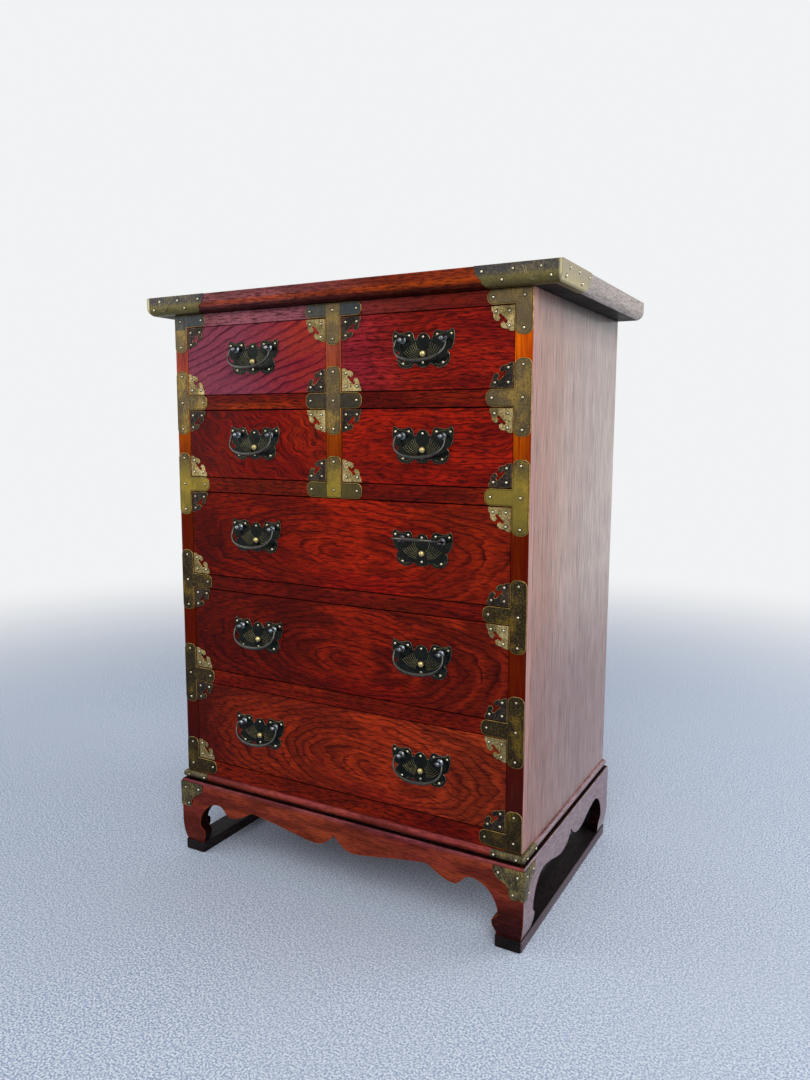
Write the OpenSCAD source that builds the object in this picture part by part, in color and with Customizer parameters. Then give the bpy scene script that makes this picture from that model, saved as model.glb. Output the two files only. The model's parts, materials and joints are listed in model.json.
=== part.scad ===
// Seven-drawer chest with brass mounts, on a shaped base with floor runners.
// X runs to the right, Y runs back into the chest and Z runs up from the floor.
// Inside the modules Y is measured from the front face of the case.

/* [Case] */
// Width of the case over its side panels
case_w = 656; // [600:1:760]
// Depth of the case from its front face to its back
case_d = 426; // [380:1:500]
// Thickness of the side panels
side_t = 14; // [10:0.5:18]
// Thickness of the boards that close the back
back_t = 8; // [5:0.5:12]
// Number of boards that close the back
back_count = 4; // [2:1:6]
// Thickness of the board that closes the bottom
bottom_t = 12; // [8:0.5:16]

/* [Front frame] */
// Width of each front stile
stile_w = 26.8; // [22:0.1:34]
// Thickness of stiles, rails and muntins from front to back
frame_t = 18; // [14:0.5:24]
// Height of each rail between two rows of drawers
rail_h = 25.3; // [20:0.1:32]
// Height of the rail under the top board
top_rail_h = 21.4; // [16:0.1:30]
// Height of the rail under the bottom drawer
bottom_rail_h = 28; // [22:0.1:36]
// Width of the muntins between the small drawers
muntin_w = 28.9; // [22:0.1:40]
// Height of the openings of the two upper rows
small_open_h = 114.8; // [95:0.1:150]
// Height of the openings of the three lower rows
wide_open_h = 146.1; // [125:0.1:190]

/* [Top board] */
// Thickness of the top board
top_t = 30; // [22:0.5:40]
// How far the top board reaches past each side panel
top_out_side = 44.6; // [25:0.1:60]
// How far the top board reaches past the front face
top_out_front = 17.7; // [14:0.1:30]
// How far the top board reaches past the back
top_out_back = 2.4; // [0:0.1:8]
// Radius of the rounded lower edge of the top board
top_roll_r = 13; // [8:0.5:14]

/* [Base] */
// Height of the plinth board with the bead edge
bead_h = 12.6; // [9:0.1:18]
// How far the bead stands out past the case
bead_out = 5.2; // [3:0.1:7]
// Height of the groove between the bead and the aprons
quirk_h = 2; // [1.4:0.1:3]
// Height of the aprons from the floor runners to the groove
apron_h = 119; // [105:0.5:150]
// Thickness of the apron boards
apron_t = 20; // [15:0.5:26]
// How far the aprons stand out past the side panels
base_out_side = 8.3; // [6:0.1:14]
// How far the aprons stand out past the front and the back of the case
base_out_front = 10; // [6:0.1:14]
// Radius of the rounded upper edges of the aprons
base_arris = 4; // [2:0.5:6]
// How far the feet draw in from the aprons above them
base_toe_in = 5.5; // [2:0.5:8]
// Depth of the apron at its lowest lobes
lobe_depth = 53.5; // [45:0.5:58]
// Depth of the apron at its cusps
cusp_depth = 32; // [26:0.5:38]
// Width of a leg at its waist
leg_waist_w = 41.5; // [34:0.5:48]
// Width of a leg at its toe
leg_toe_w = 52; // [49:0.5:56]
// Height above the floor runners at which the feet begin to draw in
knee_h = 42; // [34:0.5:50]
// Height above the floor runners of the waist of a leg
waist_h = 39; // [36:0.5:46]
// Distance of the arches' shoulders from the ends of the aprons
shoulder_in = 86; // [78:0.5:92]
// Distance of the outer lobes of the front arch from the ends of the apron
outer_lobe_in = 115; // [108:0.5:124]
// Distance of the inner cusps of the front arch from the ends of the apron
inner_cusp_in = 164.5; // [150:0.5:180]
// Distance of the inner lobes of the front arch from the middle
inner_lobe_x = 37; // [28:0.5:46]
// Distance of the lobes of the side arches from the middle
side_lobe_x = 46; // [34:0.5:56]
// Length of the legs of the corner blocks inside the base
corner_leg = 18; // [10:0.5:26]
// Height of the floor runners
runner_h = 18; // [12:0.5:26]
// Width of the floor runners
runner_w = 44; // [36:0.5:52]
// How far the floor runners stand in from the sides of the base
runner_in = 3.5; // [0:0.1:6]
// How far the ends of the floor runners stand in from the front and back
runner_end_in = 1.8; // [0:0.1:5]

/* [Inside the case] */
// Width of the bearers under the drawer sides
bearer_w = 45; // [34:0.5:60]
// Width of the bearers between the small drawers
centre_bearer_w = 81; // [70:0.5:110]
// Height of the guides beside the drawers
guide_h = 22; // [14:0.5:40]
// Thickness of the dust boards
dust_t = 5; // [3:0.5:8]
// Depth of the grooves that hold the dust boards
dust_groove = 6; // [3:0.5:10]
// Thickness of the rails at the back of the case
back_rail_t = 18; // [12:0.5:24]
// Length of the stop blocks behind the drawers
stop_l = 15; // [8:0.5:20]
// Width of the stop blocks behind the drawers
stop_w = 22; // [12:0.5:30]
// Height of the stop blocks behind the drawers
stop_h = 18; // [10:0.5:30]
// Space between a closed drawer and the back boards
behind_drawer = 32; // [22:0.5:60]

/* [Drawers] */
// Thickness of the drawer fronts
front_t = 18; // [14:0.5:22]
// How far the closed drawer fronts lie behind the frame
front_recess = 1; // [0.5:0.1:2]
// Thickness of the drawer sides and backs
drawer_side_t = 9; // [7:0.5:12]
// Thickness of the drawer bottoms
drawer_bottom_t = 6; // [4:0.5:8]
// Depth of the grooves that hold the drawer bottoms
bottom_groove = 4.5; // [3:0.5:6]
// Height of the drawer bottom above the lower edge of the sides
bottom_rise = 6; // [4:0.5:10]
// How far the sides run on behind the backs of the drawers
drawer_back_in = 6; // [0:0.5:12]
// How much lower the drawer sides are than the fronts
side_drop = 4; // [2:0.5:12]

/* [Handles] */
// Distance of the centre knobs on either side of the centre line
handle_x = 158; // [130:1:180]
// How far the centre knobs lie below the middle of the drawers
knob_drop = 4.5; // [0:0.1:8]
// Width of the handle plates over the ear tips
plate_w = 102; // [90:1:116]
// Height of the handle plates over the ears and lobes
plate_h = 55; // [48:1:64]
// Thickness of the handle plates
plate_t = 1.5; // [1:0.1:2]
// Radius of the domed centre knobs
knob_r = 5.2; // [3.5:0.1:5.4]
// How far the domed centre knobs stand out of the plates
knob_out = 5.5; // [4:0.1:6.5]
// Distance of each post from the knob, sideways
post_x = 34; // [31:0.5:36]
// Height of the posts above the knob
post_z = 20.3; // [18:0.1:23]
// Radius of the round heads of the posts
post_head_r = 4.2; // [3.8:0.1:4.6]
// Radius of the post stems and shanks
shank_r = 1.6; // [1.3:0.1:1.9]
// Distance of the bails' pivots in front of the drawer fronts
pivot_out = 9.5; // [9:0.1:13]
// Length of the spread ends of the shanks
spread_l = 12; // [8:0.5:16]
// Thickness of the spread ends of the shanks
spread_t = 1; // [0.6:0.1:1.6]
// Thickness of the rosettes under the posts
rosette_t = 0.9; // [0.6:0.1:1.2]
// How far the rosettes reach past the heads of the posts
rosette_out = 1.2; // [0.6:0.1:1.6]

/* [Bails] */
// Radius of the bails at their ends
bail_end_r = 1.5; // [1.2:0.05:1.8]
// Radius of the bails in the middle
bail_mid_r = 3; // [2:0.1:3.2]
// Length of the bails from the pivot to the middle of the bar
bail_drop = 33.8; // [31:0.1:38]
// How far the bails bow out past the posts
bail_bow = 8; // [7.6:0.1:10]
// Angle at which the hanging bails lean out
bail_lean = 23.5; // [10:0.5:30]
// Angle at which the one raised bail stands
bail_raised = 99.5; // [80:0.5:110]

/* [Nailed plates] */
// Thickness of the brass plates on the wood
brass_t = 1.2; // [0.8:0.1:1.6]
// Radius of the nail heads
nail_r = 2.2; // [1.8:0.1:2.6]
// Height of the nail heads
nail_h = 1.7; // [1.2:0.1:2]
// Length of the arms of the plates on the front frame
arm_l = 52; // [44:0.5:60]
// Corner radius of the ends of the frame plates
arm_r = 10; // [4:0.5:11]
// Distance of the outer nails from the ends of the frame plates
nail_in = 9; // [6:0.5:11]
// Length of the drawer corner plates along each edge
corner_l = 35; // [33.5:0.5:40]
// Width of the drawer corner plates at their lobes
corner_w = 20.5; // [18:0.5:23]
// Distance of the slot in the drawer corner plates from the square corner
corner_slot_in = 21.8; // [19:0.1:23]
// Length of the slot in the drawer corner plates
corner_slot_l = 17; // [13:0.1:18.5]
// Width of the slot in the drawer corner plates
corner_slot_w = 4.6; // [3:0.1:5.4]
// Distance of the nails from the edges of the drawer corner plates
corner_nail_in = 7.4; // [5:0.1:8]
// Length of the brass caps along the front edge of the top board
cap_l = 128; // [100:1:160]
// Length of the brass brackets along the bead
bracket_l = 54; // [40:0.5:70]
// Width of the brass plates at the tops of the front legs
leg_plate_w = 51.5; // [46:0.5:60]
// Width of the same plates on the sides of the base
leg_side_w = 45.5; // [42:0.5:54]
// Height of the brass plates at the tops of the front legs
leg_plate_h = 49; // [44:0.5:60]

/* [Clearances] */
// Gap between a drawer and the frame at each side
side_gap = 0.9; // [0.5:0.1:1.5]
// Gap between a drawer front and the frame above it
top_gap = 1.2; // [0.6:0.1:2]
// Gap between a drawer and what it slides on
slide_gap = 0.3; // [0.2:0.05:0.5]
// Gap between the lower edge of a drawer front and the rail
bottom_gap = 0.8; // [0.5:0.1:1.5]
// Radial gap between a bail end and its post
pivot_gap = 0.08; // [0.03:0.01:0.1]
// Gap round a board in its groove
groove_gap = 0.2; // [0.1:0.05:0.4]
// Gap between the edge of a frame plate and the edge of its wood
edge_gap = 0.4; // [0.2:0.1:0.8]
// Gap for glue between two boards of one group
glue_gap = 0.1; // [0.05:0.05:0.2]
// Gap between a nail, post or knob and the plate under it
seat_gap = 0.05; // [0.02:0.01:0.1]

/* [Hidden] */
$fn = 32;
open_h = [small_open_h, small_open_h, wide_open_h, wide_open_h, wide_open_h];
row_count = len(open_h);
// How far a cutting or crossing shape runs on past what it meets
past = 60;

// Heights, from the floor up
apron_top = runner_h + apron_h;
bead_z = apron_top + quirk_h;
case_z = bead_z + bead_h;
bottom_row_z = case_z + bottom_rail_h;
function row_floor(i) =
    i == row_count - 1 ? bottom_row_z : row_floor(i + 1) + open_h[i + 1] + rail_h;
function row_top(i) = row_floor(i) + open_h[i];
top_z = row_top(0) + top_rail_h;
all_h = top_z + top_t;

// Widths and depths
half_w = case_w / 2;
open_x = half_w - stile_w;
inner_x = half_w - side_t;
top_x = half_w + top_out_side;
base_x = half_w + base_out_side;
base_y0 = -base_out_front;
base_y1 = case_d + base_out_front;
base_mid_y = case_d / 2;
base_half_d = case_d / 2 + base_out_front;
back_y = case_d - back_t;
back_rail_y = back_y - back_rail_t;
drawer_back_y = back_y - behind_drawer;
centre_bearer_x = centre_bearer_w / 2;

// Handles: places on a drawer front, from the centre knob
face_y = front_recess;
plate_y = face_y - plate_t;
pivot_y = face_y - pivot_out;
neck_r = shank_r + 0.6;
tail_y = face_y + front_t + glue_gap;
pin_x = post_x + post_head_r + 0.6;
bail_x = post_x + bail_bow;
reach_y = pivot_y - bail_drop * sin(bail_raised) - bail_mid_r;

// The origin lies under the middle of everything, on the floor
shift_y = -(base_y1 + reach_y) / 2;

// Drawers: name, row from the top, and -1 left, 1 right or 0 full width
DRAWERS = [
    ["top_left", 0, -1],
    ["top_right", 0, 1],
    ["second_left", 1, -1],
    ["second_right", 1, 1],
    ["third", 2, 0],
    ["fourth", 3, 0],
    ["bottom", 4, 0]
];

// Bails: name, row from the top, -1 left or 1 right, and the angle at rest
BAILS = [
    ["top_left_bail", 0, -1, bail_lean],
    ["top_right_bail", 0, 1, bail_lean],
    ["second_left_bail", 1, -1, bail_lean],
    ["second_right_bail", 1, 1, bail_lean],
    ["third_left_bail", 2, -1, bail_lean],
    ["third_right_bail", 2, 1, bail_raised],
    ["fourth_left_bail", 3, -1, bail_lean],
    ["fourth_right_bail", 3, 1, bail_lean],
    ["bottom_left_bail", 4, -1, bail_lean],
    ["bottom_right_bail", 4, 1, bail_lean]
];

CASE_NODES = [
    "top_board", "side_panel_left", "side_panel_right", "stile_left", "stile_right",
    "top_rail", "drawer_rails", "bottom_rail", "centre_muntins", "back_boards",
    "bottom_board", "dust_boards", "side_bearers", "centre_bearers", "back_rails",
    "drawer_stops", "plinth_board", "front_apron", "side_apron_left",
    "side_apron_right", "back_apron", "corner_blocks", "runner_left",
    "runner_right", "frame_plates", "frame_nails", "top_cap_left", "top_cap_right",
    "base_plates"
];

// Colours
front_red = [0.55, 0.12, 0.06];
frame_red = [0.62, 0.2, 0.05];
side_brown = [0.42, 0.28, 0.26];
inner_wood = [0.66, 0.54, 0.38];
dark_wood = [0.13, 0.09, 0.08];
brass = [0.52, 0.46, 0.26];
bright_brass = [0.83, 0.72, 0.42];
black_brass = [0.16, 0.16, 0.13];

// Curves and shapes

// Points of a cubic curve from a to d, without its first point
function curve(a, b, c, d, n = 8) = [
    for (i = [1 : n])
        let (t = i / n, s = 1 - t)
            s * s * s * a + 3 * s * s * t * b + 3 * s * t * t * c + t * t * t * d
];

// Points of an arc about a centre, both ends included
function arc(centre, r, a0, a1, n = 8) = [
    for (i = [0 : n])
        let (a = a0 + (a1 - a0) * i / n)
            centre + r * [cos(a), sin(a)]
];

// A list of points followed by its mirror image in the second axis
function both_sides(half) =
    concat(half, [for (i = [len(half) - 1 : -1 : 0]) [-half[i][0], half[i][1]]]);

// A rectangle with round corners, with its lower left corner at the origin
module round_rect(w, h, r) {
    translate([r, 0])
        square([w - 2 * r, h]);
    translate([0, r])
        square([w, h - 2 * r]);
    for (x = [r, w - r])
        for (y = [r, h - r])
            translate([x, y])
                circle(r = r);
}

// Draws a flat shape upright at depth y and gives it a thickness to the front
module on_front(y, t) {
    translate([0, y, 0])
        rotate([90, 0, 0])
            linear_extrude(height = t)
                children();
}

// Draws a flat shape upright on the right side, its first axis running back
module on_side(x, t) {
    translate([x, 0, 0])
        rotate([90, 0, 90])
            linear_extrude(height = t)
                children();
}

// Keeps what is drawn and adds its mirror image on the left
module both() {
    children();
    mirror([1, 0, 0])
        children();
}

// Draws what is given on the left (-1) or on the right (1)
module at_side(side) {
    mirror([side < 0 ? 1 : 0, 0, 0])
        children();
}

// Moves everything so that the origin lies under the middle of the chest
module placed() {
    translate([0, shift_y, 0])
        children();
}

// A box between two corners
module block(x0, y0, z0, x1, y1, z1) {
    translate([x0, y0, z0])
        cube([x1 - x0, y1 - y0, z1 - z0]);
}

// The domed head of a nail that faces the front, with its foot at the origin
module nail() {
    ball_r = (nail_r * nail_r + nail_h * nail_h) / (2 * nail_h);
    intersection() {
        translate([0, ball_r - nail_h, 0])
            sphere(r = ball_r, $fn = 20);
        rotate([90, 0, 0])
            cylinder(r = nail_r + 1, h = nail_h + 1);
    }
}

module nails_at(y, places) {
    for (p = places)
        translate([p[0], y, p[1]])
            nail();
}

module side_nails_at(x, places) {
    for (p = places)
        translate([x, p[0], p[1]])
            rotate([0, 0, 90])
                nail();
}

// Top board

// The board's section: a flat edge over a rounded lower one, grown by g
function top_section(x0, x1, r0, r1, g, up) = concat(
    [[x0 - g, all_h + up]],
    r0 > 0 ? arc([x0 + r0, top_z + r0], r0 + g, 180, 270) : [[x0 - g, top_z - g]],
    r1 > 0 ? arc([x1 - r1, top_z + r1], r1 + g, 270, 360) : [[x1 + g, top_z - g]],
    [[x1 + g, all_h + up]]
);

module top_solid(g = 0, up = 0) {
    intersection() {
        on_front(case_d + past, case_d + 2 * past)
            polygon(top_section(-top_x, top_x, top_roll_r, top_roll_r, g, up));
        on_side(-top_x - past, 2 * (top_x + past))
            polygon(top_section(
                -top_out_front, case_d + top_out_back, top_roll_r, 0, g, up
            ));
    }
}

module top_board() {
    color(frame_red)
        top_solid();
}

// The free end of a cap: an ogee, with s along the edge from the corner
function cap_outline(l) = concat(
    [[0, top_z - 20], [0, all_h]],
    [[l, all_h]],
    curve([l, all_h - 3], [l - 1, all_h - 12], [l - 5, all_h - 17], [l - 9, all_h - 18]),
    curve([l - 12, all_h - 19], [l - 9, all_h - 24], [l - 13, all_h - 27], [l - 18, top_z - 0.5]),
    [[l - 18, top_z - 20]]
);

module top_cap() {
    color(brass)
        intersection() {
            difference() {
                top_solid(g = brass_t);
                top_solid(up = 1);
            }
            union() {
                on_front(-top_out_front + top_roll_r, top_roll_r + 10)
                    translate([top_x + brass_t, 0])
                        mirror([1, 0])
                            polygon(cap_outline(cap_l));
                on_side(top_x - top_roll_r, top_roll_r + 10)
                    translate([-top_out_front - brass_t, 0])
                        polygon(cap_outline(cap_l));
            }
            block(0, -top_out_front - 10, top_z, top_x + 10, case_d, all_h);
        }
}

// Cap nails: distance from the corner and depth below the top, upper then lower
CAP_NAILS = [[29, 8], [69, 8], [cap_l - 13, 8.5], [15, 20.5], [85, 21]];

// A cap nail that faces the front, with s measured along the edge from the corner
module cap_nail(s, depth) {
    below = max(0, depth - top_t + top_roll_r);
    turn = asin(below / top_roll_r);
    r = below > 0 ? top_roll_r : 0;
    gap = below > 0 ? seat_gap : 0;
    translate([s, r, below > 0 ? top_z + top_roll_r : all_h - depth])
        rotate([turn, 0, 0])
            translate([0, -gap - r - brass_t, 0])
                nail();
}

module cap_nails() {
    translate([top_x, -top_out_front, 0])
        for (n = CAP_NAILS) {
            mirror([1, 0, 0])
                cap_nail(n[0], n[1]);
            rotate([0, 0, 90])
                cap_nail(n[0], n[1]);
        }
}

// Case

module side_panel() {
    color(side_brown)
        block(inner_x, frame_t, case_z, half_w, case_d, top_z);
}

module stile() {
    color(frame_red)
        block(open_x, 0, case_z, half_w, frame_t, top_z);
}

module rail(z, h) {
    color(frame_red)
        block(-open_x, 0, z, open_x, frame_t, z + h);
}

module drawer_rails() {
    for (i = [0 : row_count - 2])
        rail(row_floor(i) - rail_h, rail_h);
}

module centre_muntins() {
    color(frame_red)
        for (i = [0, 1])
            block(-muntin_w / 2, 0, row_floor(i), muntin_w / 2, frame_t, row_top(i));
}

module back_boards() {
    board_h = (top_z - case_z) / back_count;
    color(inner_wood)
        for (i = [0 : back_count - 1])
            block(
                -inner_x, back_y, case_z + i * board_h,
                inner_x, case_d, case_z + (i + 1) * board_h - (i < back_count - 1 ? 0.6 : 0)
            );
}

module bottom_board() {
    color(inner_wood)
        block(-inner_x, frame_t, case_z, inner_x, back_y, case_z + bottom_t);
}

// The underside of what carries row i
function bearer_floor(i) =
    i == row_count - 1 ? case_z + bottom_t : row_floor(i) - rail_h;
function dust_z(i) = row_floor(i) - (rail_h + dust_t) / 2;

module dust_groove_cut(i, x0, x1) {
    block(
        x0, frame_t - 1, dust_z(i) - groove_gap,
        x1, back_rail_y + 1, dust_z(i) + dust_t + groove_gap
    );
}

module side_bearers() {
    guide_x = open_x;
    bearer_x = inner_x - bearer_w;
    color(inner_wood)
        both()
            for (i = [0 : row_count - 1]) {
                difference() {
                    block(
                        bearer_x, frame_t, bearer_floor(i),
                        inner_x, back_rail_y, row_floor(i)
                    );
                    if (i < row_count - 1)
                        dust_groove_cut(i, bearer_x - 1, bearer_x + dust_groove);
                }
                block(
                    guide_x, frame_t, row_floor(i) + glue_gap,
                    inner_x, back_rail_y, row_floor(i) + guide_h
                );
            }
}

module centre_bearers() {
    color(inner_wood)
        for (i = [0, 1]) {
            difference() {
                block(
                    -centre_bearer_x, frame_t, bearer_floor(i),
                    centre_bearer_x, back_rail_y, row_floor(i)
                );
                both()
                    dust_groove_cut(i, centre_bearer_x - dust_groove, centre_bearer_x + 1);
            }
            block(
                -muntin_w / 2, frame_t, row_floor(i) + glue_gap,
                muntin_w / 2, back_rail_y, row_floor(i) + guide_h
            );
        }
}

module dust_boards() {
    edge_x = inner_x - bearer_w + dust_groove - groove_gap;
    centre_x = centre_bearer_x - dust_groove + groove_gap;
    color(inner_wood)
        for (i = [0 : row_count - 2])
            if (i < 2)
                both()
                    block(centre_x, frame_t, dust_z(i), edge_x, back_rail_y, dust_z(i) + dust_t);
            else
                block(-edge_x, frame_t, dust_z(i), edge_x, back_rail_y, dust_z(i) + dust_t);
}

module back_rails() {
    color(inner_wood)
        for (i = [0 : row_count - 1])
            block(-inner_x, back_rail_y, bearer_floor(i), inner_x, back_y, row_floor(i));
}

module drawer_stops() {
    stop_y = drawer_back_y + slide_gap;
    color(inner_wood)
        for (i = [0 : row_count - 1]) {
            both()
                block(
                    open_x - stop_w, stop_y, row_floor(i),
                    open_x, stop_y + stop_l, row_floor(i) + stop_h
                );
            if (i < 2)
                both()
                    block(
                        muntin_w / 2, stop_y, row_floor(i),
                        muntin_w / 2 + stop_w, stop_y + stop_l, row_floor(i) + stop_h
                    );
        }
}

// Base

// Section of the plinth board between x0 and x1, its bead grown by g
function bead_section(x0, x1, g) =
    let (r = bead_h / 2, zc = bead_z + bead_h / 2, inset = bead_out - bead_h / 2)
        concat(
            [[x0 + 1, apron_top], [x0 + 1, bead_z - g]],
            arc([x0 - inset, zc], r + g, 270, 90, 12),
            arc([x1 + inset, zc], r + g, 90, -90, 12),
            [[x1 - 1, bead_z - g], [x1 - 1, apron_top]]
        );

module bead_solid(g = 0) {
    intersection() {
        on_front(case_d + past, case_d + 2 * past)
            polygon(bead_section(-half_w, half_w, g));
        on_side(-half_w - past, case_w + 2 * past)
            polygon(bead_section(0, case_d, g));
    }
}

module plinth_board() {
    color(frame_red)
        bead_solid();
}

// Outline of the base between x0 and x1: round upper edges and drawn-in feet
function base_outline(x0, x1) =
    let (arris = base_arris, knee_z = runner_h + knee_h, toe_in = base_toe_in)
        concat(
            [[x0 + toe_in, runner_h]],
            curve(
                [x0 + toe_in, runner_h], [x0 + 2, runner_h + 12],
                [x0, knee_z - 16], [x0, knee_z]
            ),
            arc([x0 + arris, apron_top - arris], arris, 180, 90, 6),
            arc([x1 - arris, apron_top - arris], arris, 90, 0, 6),
            [[x1, knee_z]],
            curve(
                [x1, knee_z], [x1, knee_z - 16],
                [x1 - 2, runner_h + 12], [x1 - toe_in, runner_h]
            )
        );

module base_solid() {
    intersection() {
        on_front(case_d + past, case_d + 2 * past)
            polygon(base_outline(-base_x, base_x));
        on_side(-base_x - past, 2 * (base_x + past))
            polygon(base_outline(base_y0, base_y1));
    }
}

// Lower edge of a leg, from the shoulder of the arch down to the floor runner.
// w is half the length of the apron, and z heights come from the apron's top.
function leg_edge(w) =
    let (
        waist = [w - leg_waist_w, runner_h + waist_h],
        notch = [w - leg_toe_w + 3, runner_h + waist_h - 11],
        toe = [w - leg_toe_w, runner_h + waist_h - 19],
        foot = [w - leg_toe_w + 7, runner_h],
        shoulder = [w - shoulder_in, apron_top - cusp_depth - 4]
    )
        concat(
            curve(
                shoulder, shoulder + [22, 0],
                waist + [-2, 23], waist, 10
            ),
            curve(waist, waist + [0, -5], notch + [3, 2], notch, 4),
            curve(notch, notch + [-3, -2], toe + [0, 3], toe, 4),
            curve(toe, toe + [0, -7], foot + [-1, 9], foot, 5),
            [[foot[0], runner_h - 1]]
        );

// Half of the front arch: centre cusp, lobe, long rise, cusp, lobe and leg
function front_arch_half(w) =
    let (
        cusp_z = apron_top - cusp_depth,
        lobe_z = apron_top - lobe_depth,
        inner_lobe = [inner_lobe_x, lobe_z],
        cusp = [w - inner_cusp_in, cusp_z - 1.5],
        outer_lobe = [w - outer_lobe_in, lobe_z],
        shoulder = [w - shoulder_in, cusp_z - 4]
    )
        concat(
            [[0, cusp_z + 1]],
            curve([0, cusp_z + 1], [6, cusp_z - 6], inner_lobe + [-18, 0], inner_lobe),
            curve(inner_lobe, inner_lobe + [24, 0], cusp + [-60, -6], cusp),
            curve(cusp, cusp + [12, -2], outer_lobe + [-22, 0], outer_lobe),
            curve(outer_lobe, outer_lobe + [12, 0], shoulder + [-14, 0], shoulder),
            leg_edge(w)
        );

// Half of a side arch: centre cusp, lobe, rise and leg
function side_arch_half(w) =
    let (
        cusp_z = apron_top - cusp_depth,
        lobe_z = apron_top - lobe_depth,
        lobe = [side_lobe_x, lobe_z],
        shoulder = [w - shoulder_in, cusp_z - 4]
    )
        concat(
            [[0, cusp_z - 1]],
            curve([0, cusp_z - 1], [6, cusp_z - 8], lobe + [-26, 0], lobe),
            curve(lobe, lobe + [26, 0], shoulder + [-30, 0], shoulder),
            leg_edge(w)
        );

// Half of the plain arch at the back
function back_arch_half(w) =
    let (shoulder = [w - shoulder_in, apron_top - cusp_depth - 4])
        concat([[0, shoulder[1]], shoulder], leg_edge(w));

module mitred_board(x, d) {
    linear_extrude(height = apron_top + 1)
        polygon([
            [-x, 0], [x, 0], [x - apron_t, apron_t], [-x + apron_t, apron_t]
        ]);
}

module front_apron() {
    color(frame_red)
        difference() {
            intersection() {
                base_solid();
                translate([0, base_y0, 0])
                    mitred_board(base_x);
            }
            on_front(base_y0 + apron_t + 1, apron_t + 2)
                polygon(both_sides(front_arch_half(base_x)));
        }
}

module back_apron() {
    color(inner_wood)
        difference() {
            intersection() {
                base_solid();
                translate([0, base_y1, 0])
                    mirror([0, 1, 0])
                        mitred_board(base_x);
            }
            on_front(base_y1 + 1, apron_t + 2)
                polygon(both_sides(back_arch_half(base_x)));
        }
}

module side_apron() {
    color(side_brown)
        difference() {
            intersection() {
                base_solid();
                translate([base_x, base_mid_y, 0])
                    rotate([0, 0, 90])
                        mitred_board(base_half_d);
            }
            on_side(base_x - apron_t - 1, apron_t + 2)
                translate([base_mid_y, 0])
                    polygon(both_sides(side_arch_half(base_half_d)));
        }
}

module corner_blocks() {
    x = base_x - apron_t;
    color(inner_wood)
        both()
            translate([0, 0, runner_h])
                linear_extrude(height = apron_h) {
                    polygon([
                        [x, base_y0 + apron_t],
                        [x, base_y0 + apron_t + corner_leg],
                        [x - corner_leg, base_y0 + apron_t]
                    ]);
                    polygon([
                        [x, base_y1 - apron_t],
                        [x - corner_leg, base_y1 - apron_t],
                        [x, base_y1 - apron_t - corner_leg]
                    ]);
                }
}

module runner() {
    color(dark_wood)
        translate([base_x - runner_in - runner_w, base_y0 + runner_end_in, 0])
            linear_extrude(height = runner_h)
                round_rect(runner_w, 2 * (base_half_d - runner_end_in), 5);
}

// Plates on the front frame

// A strap with round corners, centred on a point
module strap(x, z, w, h, r = arm_r) {
    translate([x - w / 2, z - h / 2])
        round_rect(w, h, min(r, w / 2 - 0.5, h / 2 - 0.5));
}

// A strap between two corners
module arm(x0, x1, z0, z1) {
    strap((x0 + x1) / 2, (z0 + z1) / 2, x1 - x0, z1 - z0);
}

stile_plate_w = stile_w - 2 * edge_gap;
stile_mid_x = half_w - stile_w / 2;
rail_plate_h = rail_h - 2 * edge_gap;
top_plate_h = top_rail_h - 2 * edge_gap;
// An arm reaches this much less far past the wood that it crosses than arm_l says
arm_short = 10;
arm_end_x = open_x - arm_l + arm_short;
muntin_plate_w = muntin_w - 4 * edge_gap;
function rail_mid(i) = row_floor(i) - rail_h / 2;
top_rail_mid = top_z - top_rail_h / 2;
bottom_plate_up = 3;
bottom_rail_mid = (case_z + bottom_plate_up + bottom_row_z) / 2;
top_arm_z = row_top(0) - arm_l + arm_short;
bottom_arm_short = 15;
bottom_arm_z = bottom_row_z + arm_l - bottom_arm_short;
lower_arm_short = 11;
lower_arm_z = row_floor(1) + arm_l - lower_arm_short;
// Half lengths of the upright straps on the stiles and on the centre line
stile_reach = arm_l + 2;
cross_reach = arm_l + 1;

// A T plate: along the stile, with an arm on the rail
module stile_t_plate(z) {
    strap(stile_mid_x, z, stile_plate_w, 2 * stile_reach);
    arm(arm_end_x, stile_mid_x + stile_plate_w / 2, z - rail_plate_h / 2, z + rail_plate_h / 2);
}

module top_angle_plate() {
    x1 = half_w - edge_gap;
    z1 = top_rail_mid + top_plate_h / 2;
    arm(arm_end_x, x1, z1 - top_plate_h, z1);
    arm(x1 - stile_plate_w, x1, top_arm_z, z1);
    translate([x1 - arm_r, z1 - arm_r])
        square(arm_r);
}

module bottom_angle_plate() {
    z0 = case_z + bottom_plate_up;
    z1 = bottom_row_z - edge_gap;
    x1 = half_w - edge_gap;
    arm(arm_end_x, x1, z0, z1);
    arm(x1 - stile_plate_w, x1, z0, bottom_arm_z);
    translate([x1 - arm_r, z0])
        square(arm_r);
}

module top_t_plate() {
    strap(0, top_rail_mid, 2 * arm_l, top_plate_h);
    arm(-muntin_plate_w / 2, muntin_plate_w / 2, top_arm_z, top_rail_mid + top_plate_h / 2);
}

module cross_plate() {
    z = rail_mid(0);
    strap(0, z, 2 * arm_l, rail_plate_h);
    strap(0, z, muntin_plate_w, 2 * cross_reach);
}

module lower_t_plate() {
    z = rail_mid(1);
    strap(0, z, 2 * arm_l, rail_plate_h);
    arm(-muntin_plate_w / 2, muntin_plate_w / 2, z - rail_plate_h / 2, lower_arm_z);
}

module frame_plates() {
    color(brass)
        on_front(0, brass_t) {
            both() {
                for (i = [0 : row_count - 2])
                    stile_t_plate(rail_mid(i));
                top_angle_plate();
                bottom_angle_plate();
            }
            top_t_plate();
            cross_plate();
            lower_t_plate();
        }
}

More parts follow.
